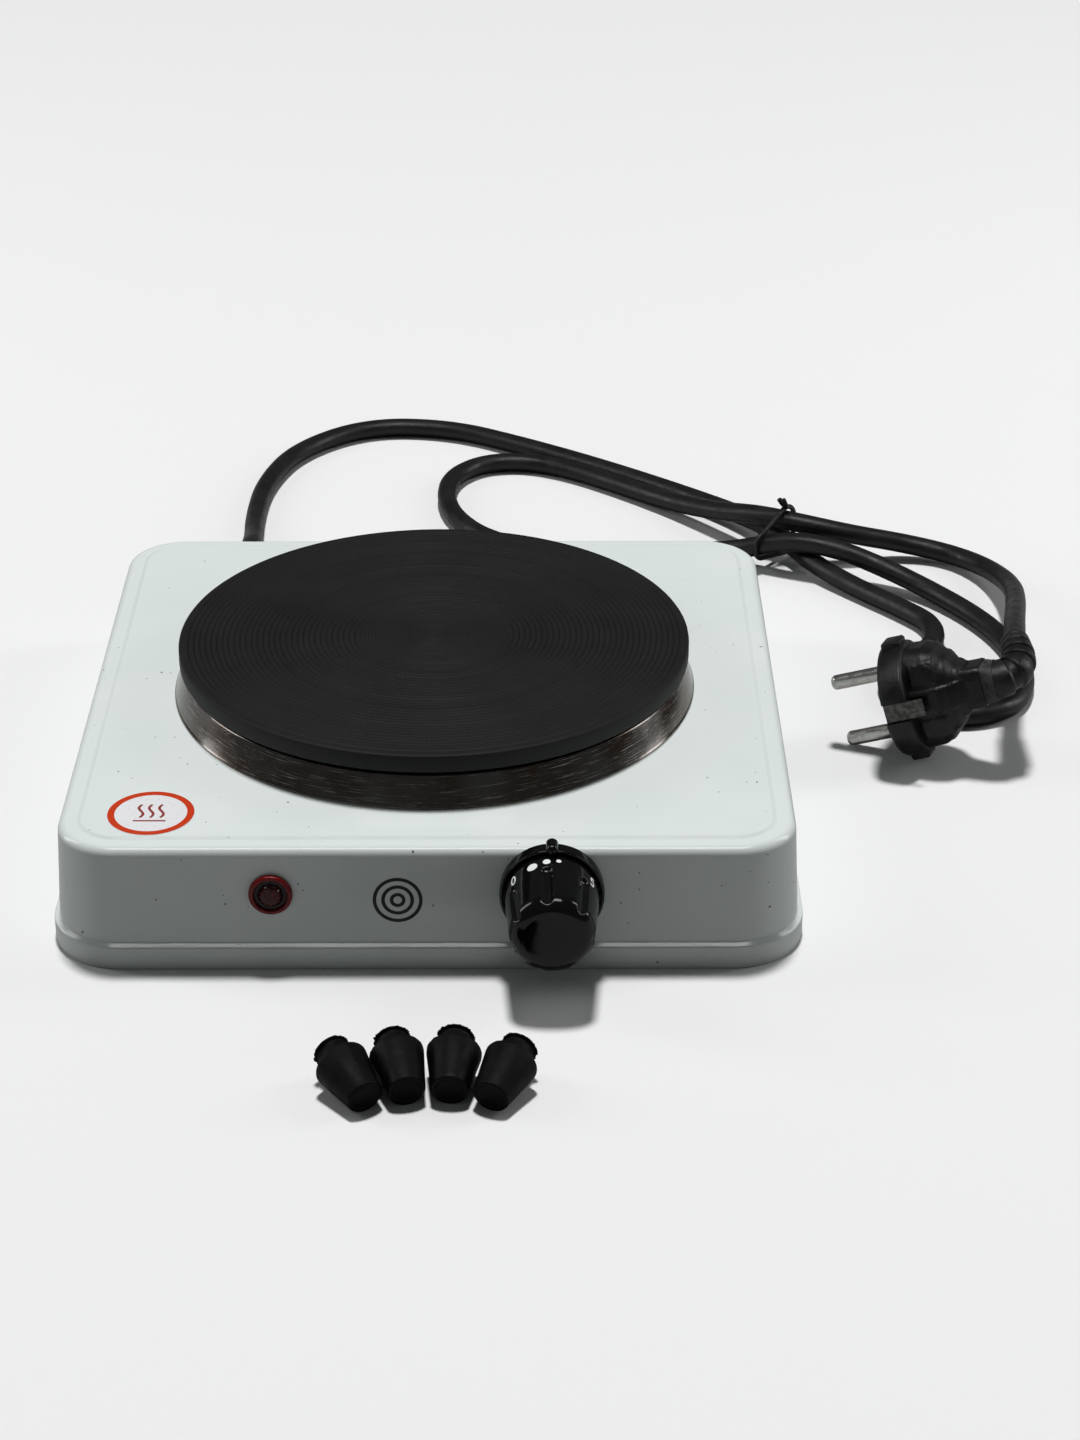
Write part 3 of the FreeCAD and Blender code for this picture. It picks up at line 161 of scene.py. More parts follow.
def roundedRing(halfX, halfY, radius, cornerSteps, sideSteps):
    # a rounded rectangle, always with the same number of points
    points = []
    starts = []
    for turn, (sx, sy) in enumerate(((1, 1), (-1, 1), (-1, -1), (1, -1))):
        corner = []
        for k in range(cornerSteps + 1):
            angle = radians(90 * turn + 90 * k / cornerSteps)
            x = sx * (halfX - radius) + radius * cos(angle)
            y = sy * (halfY - radius) + radius * sin(angle)
            corner.append(Vector((x, y)))
        starts.append(corner)
    for turn, corner in enumerate(starts):
        points += corner
        onward = starts[(turn + 1) % 4][0]
        points += [corner[-1].lerp(onward, k / sideSteps) for k in range(1, sideSteps)]
    return points


def carriers(points):
    # a direction across the line at each of its points, turning as little as it can
    ways = []
    for i in range(len(points)):
        ways.append((points[min(i + 1, len(points) - 1)] - points[max(i - 1, 0)]).normalized())
    side = ways[0].orthogonal().normalized()
    sides = []
    for way in ways:
        side = (side - way * side.dot(way)).normalized()
        sides.append(side)
    return ways, sides


def tubeRings(points, radii, sides):
    ways, across = carriers(points)
    rings = []
    for point, way, side, radius in zip(points, ways, across, radii):
        other = way.cross(side)
        angles = [tau * i / sides for i in range(sides)]
        rings.append([point + (side * cos(a) + other * sin(a)) * radius for a in angles])
    return rings


def block(name, x0, x1, y0, y1, z0, z1, place):
    corners = ((x0, y0), (x1, y0), (x1, y1), (x0, y1))
    vertices = [place @ Vector((x, y, z)) for z in (z0, z1) for x, y in corners]
    faces = [(0, 3, 2, 1), (4, 5, 6, 7), (0, 1, 5, 4), (1, 2, 6, 5), (2, 3, 7, 6), (3, 0, 4, 7)]
    return makePiece(name, vertices, faces)


def finished(piece, material, replaces=(), body="burner"):
    piece.data.materials.clear()
    piece.data.materials.append(material)
    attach(piece, body)
    if replaces:
        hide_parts(*replaces)
    return piece


# material tools

def toLinear(colour):
    parts = [int(colour[i:i + 2], 16) / 255 for i in (1, 3, 5)]
    return tuple(c / 12.92 if c <= 0.04045 else ((c + 0.055) / 1.055) ** 2.4 for c in parts) + (1.0,)


def addNode(tree, kind, sockets=None, output=0, **settings):
    # text in a socket is an sRGB colour, and what comes back is the wanted output
    node = tree.nodes.new("ShaderNode" + kind)
    for name, value in settings.items():
        setattr(node, name, value)
    for name, value in (sockets or {}).items():
        if isinstance(value, bpy.types.NodeSocket):
            tree.links.new(value, node.inputs[name])
        else:
            node.inputs[name].default_value = toLinear(value) if isinstance(value, str) else value
    return node.outputs[output] if len(node.outputs) else None


def newFinish(name, metallic=0.0, **sockets):
    # hands back the material, its nodes, its shader and the place on the piece
    material = bpy.data.materials.new(name)
    material.use_nodes = True
    tree = material.node_tree
    tree.nodes.clear()
    surface = addNode(tree, "BsdfPrincipled", {"Metallic": metallic})
    for socket, value in sockets.items():
        surface.node.inputs[socket.replace("_", " ")].default_value = value
    addNode(tree, "OutputMaterial", {"Surface": surface})
    return material, tree, surface.node, addNode(tree, "TexCoord", output="Object")


def patches(tree, where, size, low, high, detail=2.0):
    # a field from 0 to 1, uneven over patches of that many millimetres
    field = addNode(tree, "TexNoise", {"Vector": where, "Scale": 1 / (size * mm), "Detail": detail})
    return addNode(tree, "MapRange", {"Value": field, "From Min": low, "From Max": high})


def dressed(tree, shader, where, base, layers, gloss, reliefs):
    # layers are (field, colour) over the base, gloss is (field, low roughness, high roughness) or one value,
    # reliefs are (field, millimetres); a field is an output, or (size, low, high) of patches
    def made(field):
        return patches(tree, where, *field) if isinstance(field, tuple) else field

    if layers:
        for share, over in layers:
            base = addNode(tree, "Mix", {0: made(share), 6: base, 7: over}, 2, data_type="RGBA")
        tree.links.new(base, shader.inputs["Base Color"])
    else:
        shader.inputs["Base Color"].default_value = toLinear(base)
    if isinstance(gloss, tuple):
        uneven = addNode(tree, "MapRange", {"Value": made(gloss[0]), "To Min": gloss[1], "To Max": gloss[2]})
        tree.links.new(uneven, shader.inputs["Roughness"])
    else:
        shader.inputs["Roughness"].default_value = gloss
    below = {}
    for field, depth in reliefs:
        bump = {"Height": made(field), "Strength": 1.0, "Distance": depth * mm}
        below = {"Normal": addNode(tree, "Bump", bump | below)}
    tree.links.new(below["Normal"], shader.inputs["Normal"])


def simpleFinish(name, base, layers, gloss, reliefs, metallic=0.0, stretch=None, **sockets):
    material, tree, shader, where = newFinish(name, metallic, **sockets)
    if stretch:
        where = addNode(tree, "Mapping", {"Vector": where, "Scale": stretch})
    dressed(tree, shader, where, base, layers, gloss, reliefs)
    return material


def twoTone(name, colours, roughness, metallic, patch, grain, depth, stretch=None):
    # patch and grain are in millimetres; the two colours and the two roughnesses mix over the patches
    cloud = (patch, 0.35, 0.65)
    return simpleFinish(name, colours[0], [(cloud, colours[1])], (cloud, *roughness),
                        [((grain, 0.2, 0.8), depth)], metallic, stretch)


# camera, light and floor

camera = {"place": (0.029569, -0.826578, 0.463528), "down": 28.056, "turn": -0.182, "lens": 75.48}
lens = bpy.data.cameras.new("camera")
lens.sensor_width = 36.0
lens.lens = camera["lens"]
eye = bpy.data.objects.new("camera", lens)
eye.location = camera["place"]
eye.rotation_euler = (radians(90 - camera["down"]), 0, radians(camera["turn"]))
stage.collection.objects.link(eye)
stage.camera = eye

studio = {
    "sun": 2.75, "sunWidth": 7.5, "sunTilt": -13.0,      # tilted to the back, so the front wall is in shade
    "box": 6.5, "boxWidth": 0.9, "boxDepth": 0.36, "boxHeight": 1.25, "boxBack": -0.16,
    "side": 2.8, "sidePlace": (1.1, 0.25, 0.55), "sideAim": (0, 0, 0.05), "sideSize": (0.25, 0.9),
    "world": 0.075, "worldColour": (0.95, 1.0, 1.0, 1.0), "floor": "#E9E9E9", "floorBounce": "#9A9A9A",
    "floorHalf": 4000,
}


def addLight(name, kind, energy, place, aim, size=None):
    light = bpy.data.lights.new(name, kind)
    light.energy = energy
    if kind == "AREA":
        light.shape = "RECTANGLE"
        light.size, light.size_y = size
    lamp = bpy.data.objects.new(name, light)
    lamp.location = place
    lamp.rotation_euler = (Vector(aim) - Vector(place)).to_track_quat("-Z", "Y").to_euler()
    stage.collection.objects.link(lamp)
    return lamp


sunBack = sin(radians(studio["sunTilt"]))
sun = addLight("sun", "SUN", studio["sun"], (0, -sunBack, sqrt(1 - sunBack ** 2)), (0, 0, 0))
sun.data.angle = radians(studio["sunWidth"])
sun.visible_glossy = False
softbox = addLight("softbox", "AREA", studio["box"], (0, studio["boxBack"], studio["boxHeight"]),
                   (0, studio["boxBack"], 0), (studio["boxWidth"], studio["boxDepth"]))
softbox.visible_diffuse = False  # it only draws the highlights
for side in (-1, 1):
    x, y, z = studio["sidePlace"]
    addLight("strip", "AREA", studio["side"], (side * x, y, z), studio["sideAim"], studio["sideSize"])

world = bpy.data.worlds.new("studio")
world.use_nodes = True
sky = world.node_tree.nodes["Background"]
sky.inputs["Color"].default_value = studio["worldColour"]
sky.inputs["Strength"].default_value = studio["world"]
stage.world = world
stage.view_settings.view_transform = "Standard"


def makeFloor():
    # the paper looks paler to the lens than it lights the object, as a studio sweep that is exposed high
    far = studio["floorHalf"]
    floor = makePiece("floor", [(-far, -far, 0), (far, -far, 0), (far, far, 0), (-far, far, 0)], [(0, 1, 2, 3)])
    material = bpy.data.materials.new("paper sweep")
    material.use_nodes = True
    tree = material.node_tree
    tree.nodes.clear()
    mix = addNode(tree, "MixShader", {
        0: addNode(tree, "LightPath", output="Is Camera Ray"),
        1: addNode(tree, "BsdfDiffuse", {"Color": studio["floorBounce"]}),
        2: addNode(tree, "BsdfDiffuse", {"Color": studio["floor"]}),
    })
    addNode(tree, "OutputMaterial", {"Surface": mix})
    floor.data.materials.append(material)


makeFloor()
print("camera, lights and floor")

# lead: extruded PVC sheath

leadSettings = {"diameter": 7.0}
# points with no height are where the lead lies on the floor
leadRoute = (
    (-70, 131, 14), (-70, 149, 14), (-71, 171, 7), (-73, 197), (-71.5, 229), (-61, 261), (-35, 284),
    (-2, 282), (27, 264), (56, 243), (85, 219), (110, 192, 5.2), (120, 172.5, 7.2), (130, 153, 4.9),
    (145, 134.5), (159, 118.5), (168.5, 105), (166, 88.5), (153, 77.2), (146.2, 61), (152.8, 44.2),
    (169.5, 37.2), (186.2, 44.2), (193.3, 60.5), (194, 78), (190.5, 96.5), (182.5, 114.5), (170.5, 131.5, 4),
    (155.5, 144, 7), (138, 149.8, 12.4), (121, 156.5, 12.4), (103, 163.5, 5), (80, 165), (54, 162.5),
    (29, 166.5), (11, 179.5), (1, 197), (-2.8, 215.5), (-1, 233), (10, 246.5), (27, 249), (44.5, 241),
    (63.5, 225.5), (82, 208, 4.4), (98, 190.5, 8.5), (111.5, 175, 14.3), (127, 166.3, 14.5), (145, 164.3, 11),
    (162.5, 168.5, 6), (179.5, 163.8, 3.9), (190.5, 151, 5), (195.8, 134, 7.8), (196.5, 114.5, 12.5),
    (193, 90, 18.5), (188, 62, 26), (184.2, 37, 31.6),
)
leadRoute = [(*p, leadSettings["diameter"] / 2) if len(p) == 2 else p for p in leadRoute]


def smoothLine(name, points, thickness=0.0, closed=False):
    curve = bpy.data.curves.new(name, "CURVE")
    curve.dimensions = "3D"
    curve.resolution_u = 10
    curve.bevel_depth = thickness * mm / 2
    curve.bevel_resolution = 6
    curve.use_fill_caps = True
    spline = curve.splines.new("NURBS")
    spline.points.add(len(points) - 1)
    for point, place in zip(spline.points, points):
        point.co = (*(Vector(place) * mm), 1.0)
    spline.order_u = 3
    spline.use_endpoint_u = not closed
    spline.use_cyclic_u = closed
    line = bpy.data.objects.new(name, curve)
    stage.collection.objects.link(line)
    return line


def pointsAlong(points):
    # where a smooth line runs, in millimetres
    line = smoothLine("line", points)
    graph = bpy.context.evaluated_depsgraph_get()
    mesh = bpy.data.meshes.new_from_object(line.evaluated_get(graph))
    found = [v.co / mm for v in mesh.vertices]
    bpy.data.objects.remove(line)
    bpy.data.meshes.remove(mesh)
    return found


# satin black, smooth from the die, gently uneven, with specks of dust
leadBlack = simpleFinish(
    "extruded black PVC", "#101010", [((9.0, 0.35, 0.7), "#1B1B1B")], ((4.0, 0.3, 0.7), 0.34, 0.5),
    [((2.5, 0.3, 0.7), 0.05), ((0.5, 0.74, 0.8), 0.03)], IOR=1.54)
lead = smoothLine("power_lead", leadRoute, leadSettings["diameter"])
finished(lead, leadBlack, ["power_cord"])
print("lead laid out")

# tie: a covered wire bent round the three strands

tieSettings = {
    "at": (118.5, 166.0), "heading": -40.0, "wire": 1.8, "slack": 0.6, "reach": 20, "pitch": 2.0,
    "tail": ((-1.2, 1.0, 0.8), (-2.6, 2.6, 1.4), (-3.4, 4.4, 1.0)),
    "other": ((-2.2, 3.4, -1.6), (-1.2, 1.6, -1.0)),
}


def makeTie():
    heading = radians(tieSettings["heading"])
    along = Vector((cos(heading), sin(heading), 0))
    aside = up.cross(along)
    middle = Vector((*tieSettings["at"], 0))
    strands = []
    line = pointsAlong(leadRoute)
    for a, b in zip(line, line[1:]):
        da, db = (a - middle).dot(along), (b - middle).dot(along)
        cross = a.lerp(b, da / (da - db)) if da * db < 0 else None
        if cross and abs((cross - middle).dot(aside)) < tieSettings["reach"]:
            strands.append(Vector(((cross - middle).dot(aside), cross.z)))
    radius = (leadSettings["diameter"] + tieSettings["wire"]) / 2 + tieSettings["slack"]
    around = []
    for i in range(72):
        # the furthest any strand reaches in each direction gives the band's hull
        way = Vector((cos(tau * i / 72), sin(tau * i / 72)))
        furthest = max(strands, key=lambda s: s.dot(way))
        around.append(furthest + way * radius)
    hull = [around[0]]
    for point in around[1:]:
        gap = (point - hull[-1]).length
        steps = max(1, round(gap / tieSettings["pitch"]))
        hull += [hull[-1].lerp(point, k / steps) for k in range(1, steps + 1)]
    path = [middle + aside * p.x + up * p.y for p in hull]
    top = max(range(len(path)), key=lambda k: path[k].z + path[k].dot(aside) * 0.01)
    path = path[top:] + path[1:top + 1]
    # the two twisted ends stick up
    tail, other = ([end + aside * a + up * b + along * c for a, b, c in tieSettings[key]]
                   for end, key in ((path[-1], "tail"), (path[0], "other")))
    return smoothLine("lead_tie", other + path + tail, tieSettings["wire"])


tie = finished(makeTie(), leadBlack, ["cord_tie"])
print("tie bent round the lead")

# body: deep drawn sheet steel, white vitreous enamel

shellBox = [Vector(p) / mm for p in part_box("housing_shell")]
shell = {
    "corner": 21.0, "skirt": 7.0, "ledge": 1.0, "ledgeInset": 1.6, "draft": 1.5, "edge": 6.0, "border": 5.4,
    "rise": 0.6, "sheet": 0.8, "opening": 68.0, "cornerSteps": 20, "sideSteps": 14,
    "holes": (("knob", 35.2, 24.5, -1, 4.6), ("lamp", -43.5, 23.5, -1, 5.0), ("gland", -70.0, 14.0, 1, 6.25)),
    "holeDepth": 12,
}
halfWidth = shellBox[1].x
halfDepth = shellBox[1].y
panelZ = shellBox[1].z
edgeZ = panelZ - shell["rise"]
plateMiddle = Vector((0, -3.0, 0))


def wallY(z):
    # the front wall leans in from the ledge to the top
    foot = shell["skirt"] + shell["ledge"]
    return -(halfDepth - shell["ledgeInset"] - shell["draft"] * (z - foot) / (edgeZ - foot))


def shellRing(inset, z):
    ring = roundedRing(halfWidth - inset, halfDepth - inset, max(shell["corner"] - inset, 2.0),
                       shell["cornerSteps"], shell["sideSteps"])
    return [Vector((p.x, p.y, z)) for p in ring]


def openingRing(outer, radius, z):
    ring = []
    for point in outer:
        way = (point - plateMiddle).xy.normalized()
        ring.append(Vector((plateMiddle.x + way.x * radius, plateMiddle.y + way.y * radius, z)))
    return ring


def makeShell():
    foot = shell["skirt"] + shell["ledge"]
    wall = shell["ledgeInset"] + shell["draft"]
    border = wall + shell["border"]
    outside = roundedLine([
        (0.7, 0.0), (0.0, 0.0, 0.5), (0.0, shell["skirt"], 0.7), (shell["ledgeInset"], foot, 0.6),
        (wall, edgeZ, shell["edge"]), (border, edgeZ, 1.2), (border + 1.2, panelZ, 1.2), (border + 3.0, panelZ),
    ], 8)
    t = shell["sheet"]
    inside = roundedLine([
        (border + 3.0, panelZ - t), (border + 1.0, panelZ - t, 1.0), (border, edgeZ - t, 1.0),
        (wall + t, edgeZ - t, shell["edge"] - t), (shell["ledgeInset"] + t, foot, 1.0),
        (t, shell["skirt"] - 0.3, 0.7), (t, 0.4),
    ], 5)
    rings = [shellRing(i, z) for i, z in outside]
    for wider, lower in ((0.3, 0), (0, 0.3), (0, t)):
        rings.append(openingRing(rings[-1], shell["opening"] + wider, panelZ - lower))
    rings += [shellRing(i, z) for i, z in inside]
    piece = lofted("enamelled_body", rings, closed=True, sharp=40)
    cutters = []
    deep = shell["holeDepth"]
    for name, x, z, side, radius in shell["holes"]:
        place = basis(Vector((x, side * halfDepth - deep / 2, z)), right, -up, back)
        cutters.append(spun(name, [(0, 0), (radius, 0), (radius, deep), (0, deep)], place, 48))
    carved(piece, cutters, sharp=40)
    return piece


# glassy white with a faint green-grey cast, orange peel from the spray and a few dark specks
enamel = simpleFinish(
    "white vitreous enamel", "#DBE3E1", [((45.0, 0.3, 0.7), "#E1E7E5"), ((1.4, 0.845, 0.87, 0.0), "#6C6E6B")],
    ((12.0, 0.35, 0.7), 0.13, 0.21), [((3.0, 0.2, 0.8, 1.0), 0.012), ((30.0, 0.2, 0.8, 0.0), 0.08)], IOR=1.5)
finished(makeShell(), enamel, ["housing_shell"])
print("body drawn")

# hot plate: grey iron casting, turned face, black heat-proof coat

plate = {
    "radius": 77.5, "rim": 5.6, "web": 8.0, "skirt": (69.8, 74.4), "bore": 3.0, "hub": 11.0,
    "rib": (45.0, 47.0), "ribDepth": 5.4,
    "pitch": 1.74, "depth": 0.38, "grooves": (24.3, 75.0), "finePitch": 1.1, "fineDepth": 0.15,
    "centreRing": 22.0, "dimple": 1.6, "toolMarks": 0.6,
}
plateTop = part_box("hotplate_casting")[1].z / mm


def grooveLine(outer, inner, pitch, depth):
    # round-bottomed turned grooves with a flat land between
    line = []
    radius = outer
    while radius - pitch > inner:
        line.append((radius, plateTop))
        for across, down in ((0.12, 0.55), (0.24, 1.0), (0.36, 0.55)):
            line.append((radius - pitch * across, plateTop - depth * down))
        line.append((radius - pitch * 0.48, plateTop))
        radius -= pitch
    return line


def makePlate():
    web = plateTop - plate["web"]
    under = plateTop - plate["rim"]
    foot = panelZ + 0.8
    low = web - plate["ribDepth"]
    edge, bore, hub = (plate[k] for k in ("radius", "bore", "hub"))
    skirtIn, skirtOut = plate["skirt"]
    ribIn, ribOut = plate["rib"]
    outline = roundedLine([
        (0, low + 8.0), (bore, low + 8.0), (bore, low), (hub, low, 0.6), (hub, web, 1.0),
        (ribIn, web, 0.6), (ribIn, low, 0.4), (ribOut, low, 0.4), (ribOut, web, 0.6),
        (skirtIn, web, 1.0), (skirtIn, foot, 0.4), (skirtOut, foot, 0.4), (skirtOut, under, 1.0),
        (edge, under, 0.7), (edge, plateTop, 0.9), (edge - 2.0, plateTop),
    ], 4)
    first, last = plate["grooves"]
    outline += grooveLine(last, first - plate["pitch"], plate["pitch"], plate["depth"])
    outline += [(22.9, plateTop), (22.5, plateTop - 0.25), (22.1, plateTop)]
    dimple = plate["dimple"]
    outline += grooveLine(plate["centreRing"] - 0.6, dimple + 0.4, plate["finePitch"], plate["fineDepth"])
    outline += [(dimple, plateTop), (dimple * 0.6, plateTop - 0.3), (0, plateTop - 0.5)]
    return spun("hot_plate", outline, Matrix.Translation(plateMiddle), 240, sharp=50)


def fromPlateMiddle(tree, where):
    return addNode(tree, "VectorMath", {0: where, 1: plateMiddle * -mm}, operation="ADD")


def ironFinish():
    # soot black and dull, with the tool's fine rings and a little pale dust in the pores
    material, tree, shader, where = newFinish("black coated cast iron", IOR=1.42)
    flat = addNode(tree, "Mapping", {"Vector": fromPlateMiddle(tree, where), "Scale": (1, 1, 0)})
    radius = addNode(tree, "VectorMath", {0: flat}, "Value", operation="LENGTH")
    # tool marks 0.25 mm apart are too fine to show, so they are drawn 0.6 mm apart
    turns = addNode(tree, "Math", {0: radius, 1: 1 / (plate["toolMarks"] * mm)}, operation="MULTIPLY")
    rings = addNode(tree, "TexNoise", {"W": turns, "Scale": 1.0, "Detail": 1.0}, noise_dimensions="1D")
    # painted shade: faces that turn to the side or down, the rim's edge among them, are drawn near black
    lying = addNode(tree, "SeparateXYZ", {0: addNode(tree, "NewGeometry", output="Normal")}, 2)
    sideShade = addNode(tree, "MapRange", {"Value": lying, "From Min": 0.6, "From Max": 0.1})
    dressed(tree, shader, where, "#111011",
            [((18.0, 0.3, 0.7), "#181718"), ((0.35, 0.62, 0.78), "#2A2928"), (sideShade, "#040404")],
            (rings, 0.55, 0.8), [(rings, 0.03), ((0.5, 0.25, 0.75), 0.03)])
    return material


finished(makePlate(), ironFinish(), ["hotplate_casting"])
print("plate turned")

# trim ring: spun stainless steel, bright, with scratches round it

ring = {"lip": 76.0, "foot": 79.4, "neck": 74.6, "seat": 70.2, "sheet": 0.8, "topGap": 1.3}


def makeTrimRing():
    top = plateTop - plate["rim"] - ring["topGap"]
    t = ring["sheet"]
    seat = panelZ + t
    outline = roundedLine([
        (ring["neck"], top - t), (ring["lip"] - t, top - t, 0.8), (ring["foot"] - t - 0.6, seat, 0.4),
        (ring["seat"], seat), (ring["seat"], panelZ + 0.02), (ring["foot"], panelZ + 0.02, 0.15),
        (ring["foot"], panelZ + 0.5, 0.35),
        (ring["foot"] - 0.35, panelZ + 1.0, 0.5), (ring["lip"], top, 0.9), (ring["neck"], top),
    ], 5, closed=True)
    return spun("spun_ring", outline, Matrix.Translation(plateMiddle), 200, ring=True, sharp=45)


def ringFinish():
    # dark mirror with pale scratches along the spinning and brown heat tints
    material, tree, shader, where = newFinish("spun stainless steel", 1.0)
    around = addNode(tree, "TexGradient", {"Vector": fromPlateMiddle(tree, where)}, 1, gradient_type="RADIAL")
    height = addNode(tree, "SeparateXYZ", {0: where}, 2)
    # scratches under 0.1 mm wide are too fine to show, so they are drawn 0.3 mm wide and 12 mm long
    wrap = addNode(tree, "CombineXYZ", {
        0: addNode(tree, "Math", {0: around, 1: 40.0}, operation="MULTIPLY"),
        1: addNode(tree, "Math", {0: height, 1: 1 / (0.3 * mm)}, operation="MULTIPLY"),
    })
    scratch = addNode(tree, "TexNoise", {"Vector": wrap, "Scale": 1.0, "Detail": 3.0, "Roughness": 0.65})
    thin = addNode(tree, "MapRange", {"Value": scratch, "From Min": 0.56, "From Max": 0.72})
    dressed(tree, shader, where, "#7C7875", [((14.0, 0.35, 0.7), "#5E5047"), (thin, "#B9B4AE")],
            (thin, 0.16, 0.5), [(scratch, 0.02), ((6.0, 0.3, 0.7), 0.03)])
    return material


finished(makeTrimRing(), ringFinish(), ["trim_ring"])
print("trim ring spun")

# knob: moulded phenolic, gloss black, with white pad print

knobAxis = Vector((35.2, 0, 24.5))
knob = {
    "rearY": -107.06, "length": 23.0, "rear": 13.3, "front": 11.7, "crown": 4.6, "skirt": 1.6, "wall": 1.8,
    "flutes": 7, "firstFlute": -7.0, "flute": 2.1, "fluteDepth": 1.15, "fluteStart": 5.5, "blend": 0.12,
    "hub": 5.8, "bore": 3.05, "rows": 84,
}
knobFrontY = knob["rearY"] - knob["length"]


def facing(x, y, z):
    # angles run clockwise from the top as seen from the front, heights from there to the back
    return basis(Vector((x, y, z)), up, right, back)


knobPlace = facing(knobAxis.x, knobFrontY, knobAxis.z)


def knobSide(depth):
    share = min(depth / (knob["length"] - knob["skirt"]), 1.0)
    return knob["front"] + (knob["rear"] - knob["front"]) * share


def fluted(radius, depth, angle):
    # ball-ended grooves along the side; they run out over the rounded front
    if radius < 5.0 or depth > knob["length"] - 2.5:
        return radius, depth
    turn = tau / knob["flutes"]
    off = (angle - radians(knob["firstFlute"]) + turn / 2) % turn - turn / 2
    nominal = knobSide(depth)
    aside = nominal * sin(off)
    past = max(0.0, depth - (knob["length"] - knob["fluteStart"] - knob["flute"]))
    reach = knob["flute"] ** 2 - aside ** 2 - past ** 2
    if reach <= 0:
        return radius, depth
    floor = nominal - knob["fluteDepth"] + knob["flute"] - sqrt(reach)
    gap = radius - floor
    soft = knob["blend"]
    if gap < -3 * soft:
        return radius, depth
    return radius - soft * log1p(exp(gap / soft)), depth


def makeKnob():
    length = knob["length"]
    crown = knob["crown"]
    outline = [(0, 0), (2.5, 0), (5.0, 0), (6.2, 0)]
    start = knob["front"] - crown + 0.35
    for k in range(1, 19):
        a = radians(90 * k / 18)
        outline.append((start + (knobSide(crown) - start) * sin(a), crown * (1 - cos(a))))
    for k in range(1, knob["rows"] + 1):
        depth = crown + (length - crown - 0.6) * k / knob["rows"]
        outline.append((knobSide(depth), depth))
    rear, wall, hub, bore = (knob[k] for k in ("rear", "wall", "hub", "bore"))
    ceiling = wall * 2 + 1.5
    outline += roundedLine([
        (rear, length - 0.6), (rear, length, 0.4), (rear - wall, length, 0.4),
        (knob["front"] - wall, ceiling, 1.0), (hub, ceiling, 0.8), (hub, length - 4.0, 0.3),
        (bore, length - 4.0), (bore, length - 12.0), (0, length - 12.0),
    ], 4)[1:]
    return spun("fluted_knob", outline, knobPlace, 420, shape=fluted, sharp=60)


def glossFinish():
    # black glass-like skin from a polished mould, with hairline handling marks
    material, tree, shader, where = newFinish("gloss black phenolic", IOR=1.45)
    hairs = patches(tree, addNode(tree, "Mapping", {"Vector": where, "Scale": (1, 0.15, 1)}), 0.4, 0.6, 0.75)
    dressed(tree, shader, where, "#060606", [((6.0, 0.3, 0.7), "#0B0B0B")], (hairs, 0.1, 0.24),
            [((4.0, 0.2, 0.8, 1.0), 0.02)])
    return material


gloss = glossFinish()
finished(makeKnob(), gloss, ["knob"], "knob")


def printFinish(name, colour, roughness):
    # a thin ink film, slightly uneven where it was pressed
    uneven = ((1.2, 0.3, 0.7), roughness - 0.08, roughness + 0.08)
    return simpleFinish(name, colour, [], uneven, [((0.5, 0.2, 0.8), 0.01)], IOR=1.45)


marks = {
    "ink": 0.045, "sunk": 0.02, "line": 0.55, "height": 3.2, "width": 1.9, "depth": 18.6,
    "zeroAt": -55.0, "step": -49.4,
    "dots": ((-25.0, 1.55, 18.6), (-6.6, 1.1, 19.6), (8.0, 0.72, 19.9)),
}


def arcPoints(x, y, radiusX, radiusY, start, end, steps):
    angles = [radians(start + (end - start) * k / steps) for k in range(steps + 1)]
    return [(x + radiusX * cos(a), y + radiusY * sin(a)) for a in angles]


def runPoints(corners, steps=4):
    points = [corners[0]]
    for a, b in zip(corners, corners[1:]):
        for k in range(1, steps + 1):
            points.append((a[0] + (b[0] - a[0]) * k / steps, a[1] + (b[1] - a[1]) * k / steps))
    return points


# each digit is drawn in a box from -1 to 1 in both directions
digits = {
    0: [arcPoints(0, 0, 0.85, 1, 0, 360, 28)],
    1: [runPoints([(-0.45, 0.5), (0.15, 1), (0.15, -1)])],
    2: [arcPoints(0, 0.45, 0.75, 0.55, 170, -35, 12) + runPoints([(0.6, 0.1), (-0.75, -1), (0.8, -1)])],
    3: [arcPoints(-0.05, 0.5, 0.7, 0.5, 160, -90, 12) + arcPoints(-0.05, -0.5, 0.8, 0.5, 90, -160, 12)],
    4: [runPoints([(0.35, -1), (0.35, 1), (-0.8, -0.35), (0.85, -0.35)])],
    5: [runPoints([(0.7, 1), (-0.55, 1), (-0.65, 0.1)]) + arcPoints(-0.05, -0.35, 0.8, 0.65, 135, -150, 14)],
}


def inkStroke(points, width, lay):
    # a flat band along the points; lay puts a flat point and its height on the surface
    vertices = []
    faces = []
    last = len(points) - 1
    closed = dist(points[0], points[-1]) < 1e-6
    for i, (x, y) in enumerate(points):
        before = points[i - 1] if i else (points[-2] if closed else points[0])
        after = points[i + 1] if i < last else (points[1] if closed else points[-1])
        way = Vector((after[0] - before[0], after[1] - before[1])).normalized()
        side = Vector((-way.y, way.x)) * width / 2
        for sign, lift in ((1, 0), (1, 1), (-1, 1), (-1, 0)):
            vertices.append(lay(x + sign * side.x, y + sign * side.y, lift))
    for i in range(last):
        for k in range(4):
            n = (k + 1) % 4
            faces.append((i * 4 + k, i * 4 + n, i * 4 + 4 + n, i * 4 + 4 + k))
    if not closed:
        faces += [(3, 2, 1, 0), (last * 4, last * 4 + 1, last * 4 + 2, last * 4 + 3)]
    return vertices, faces


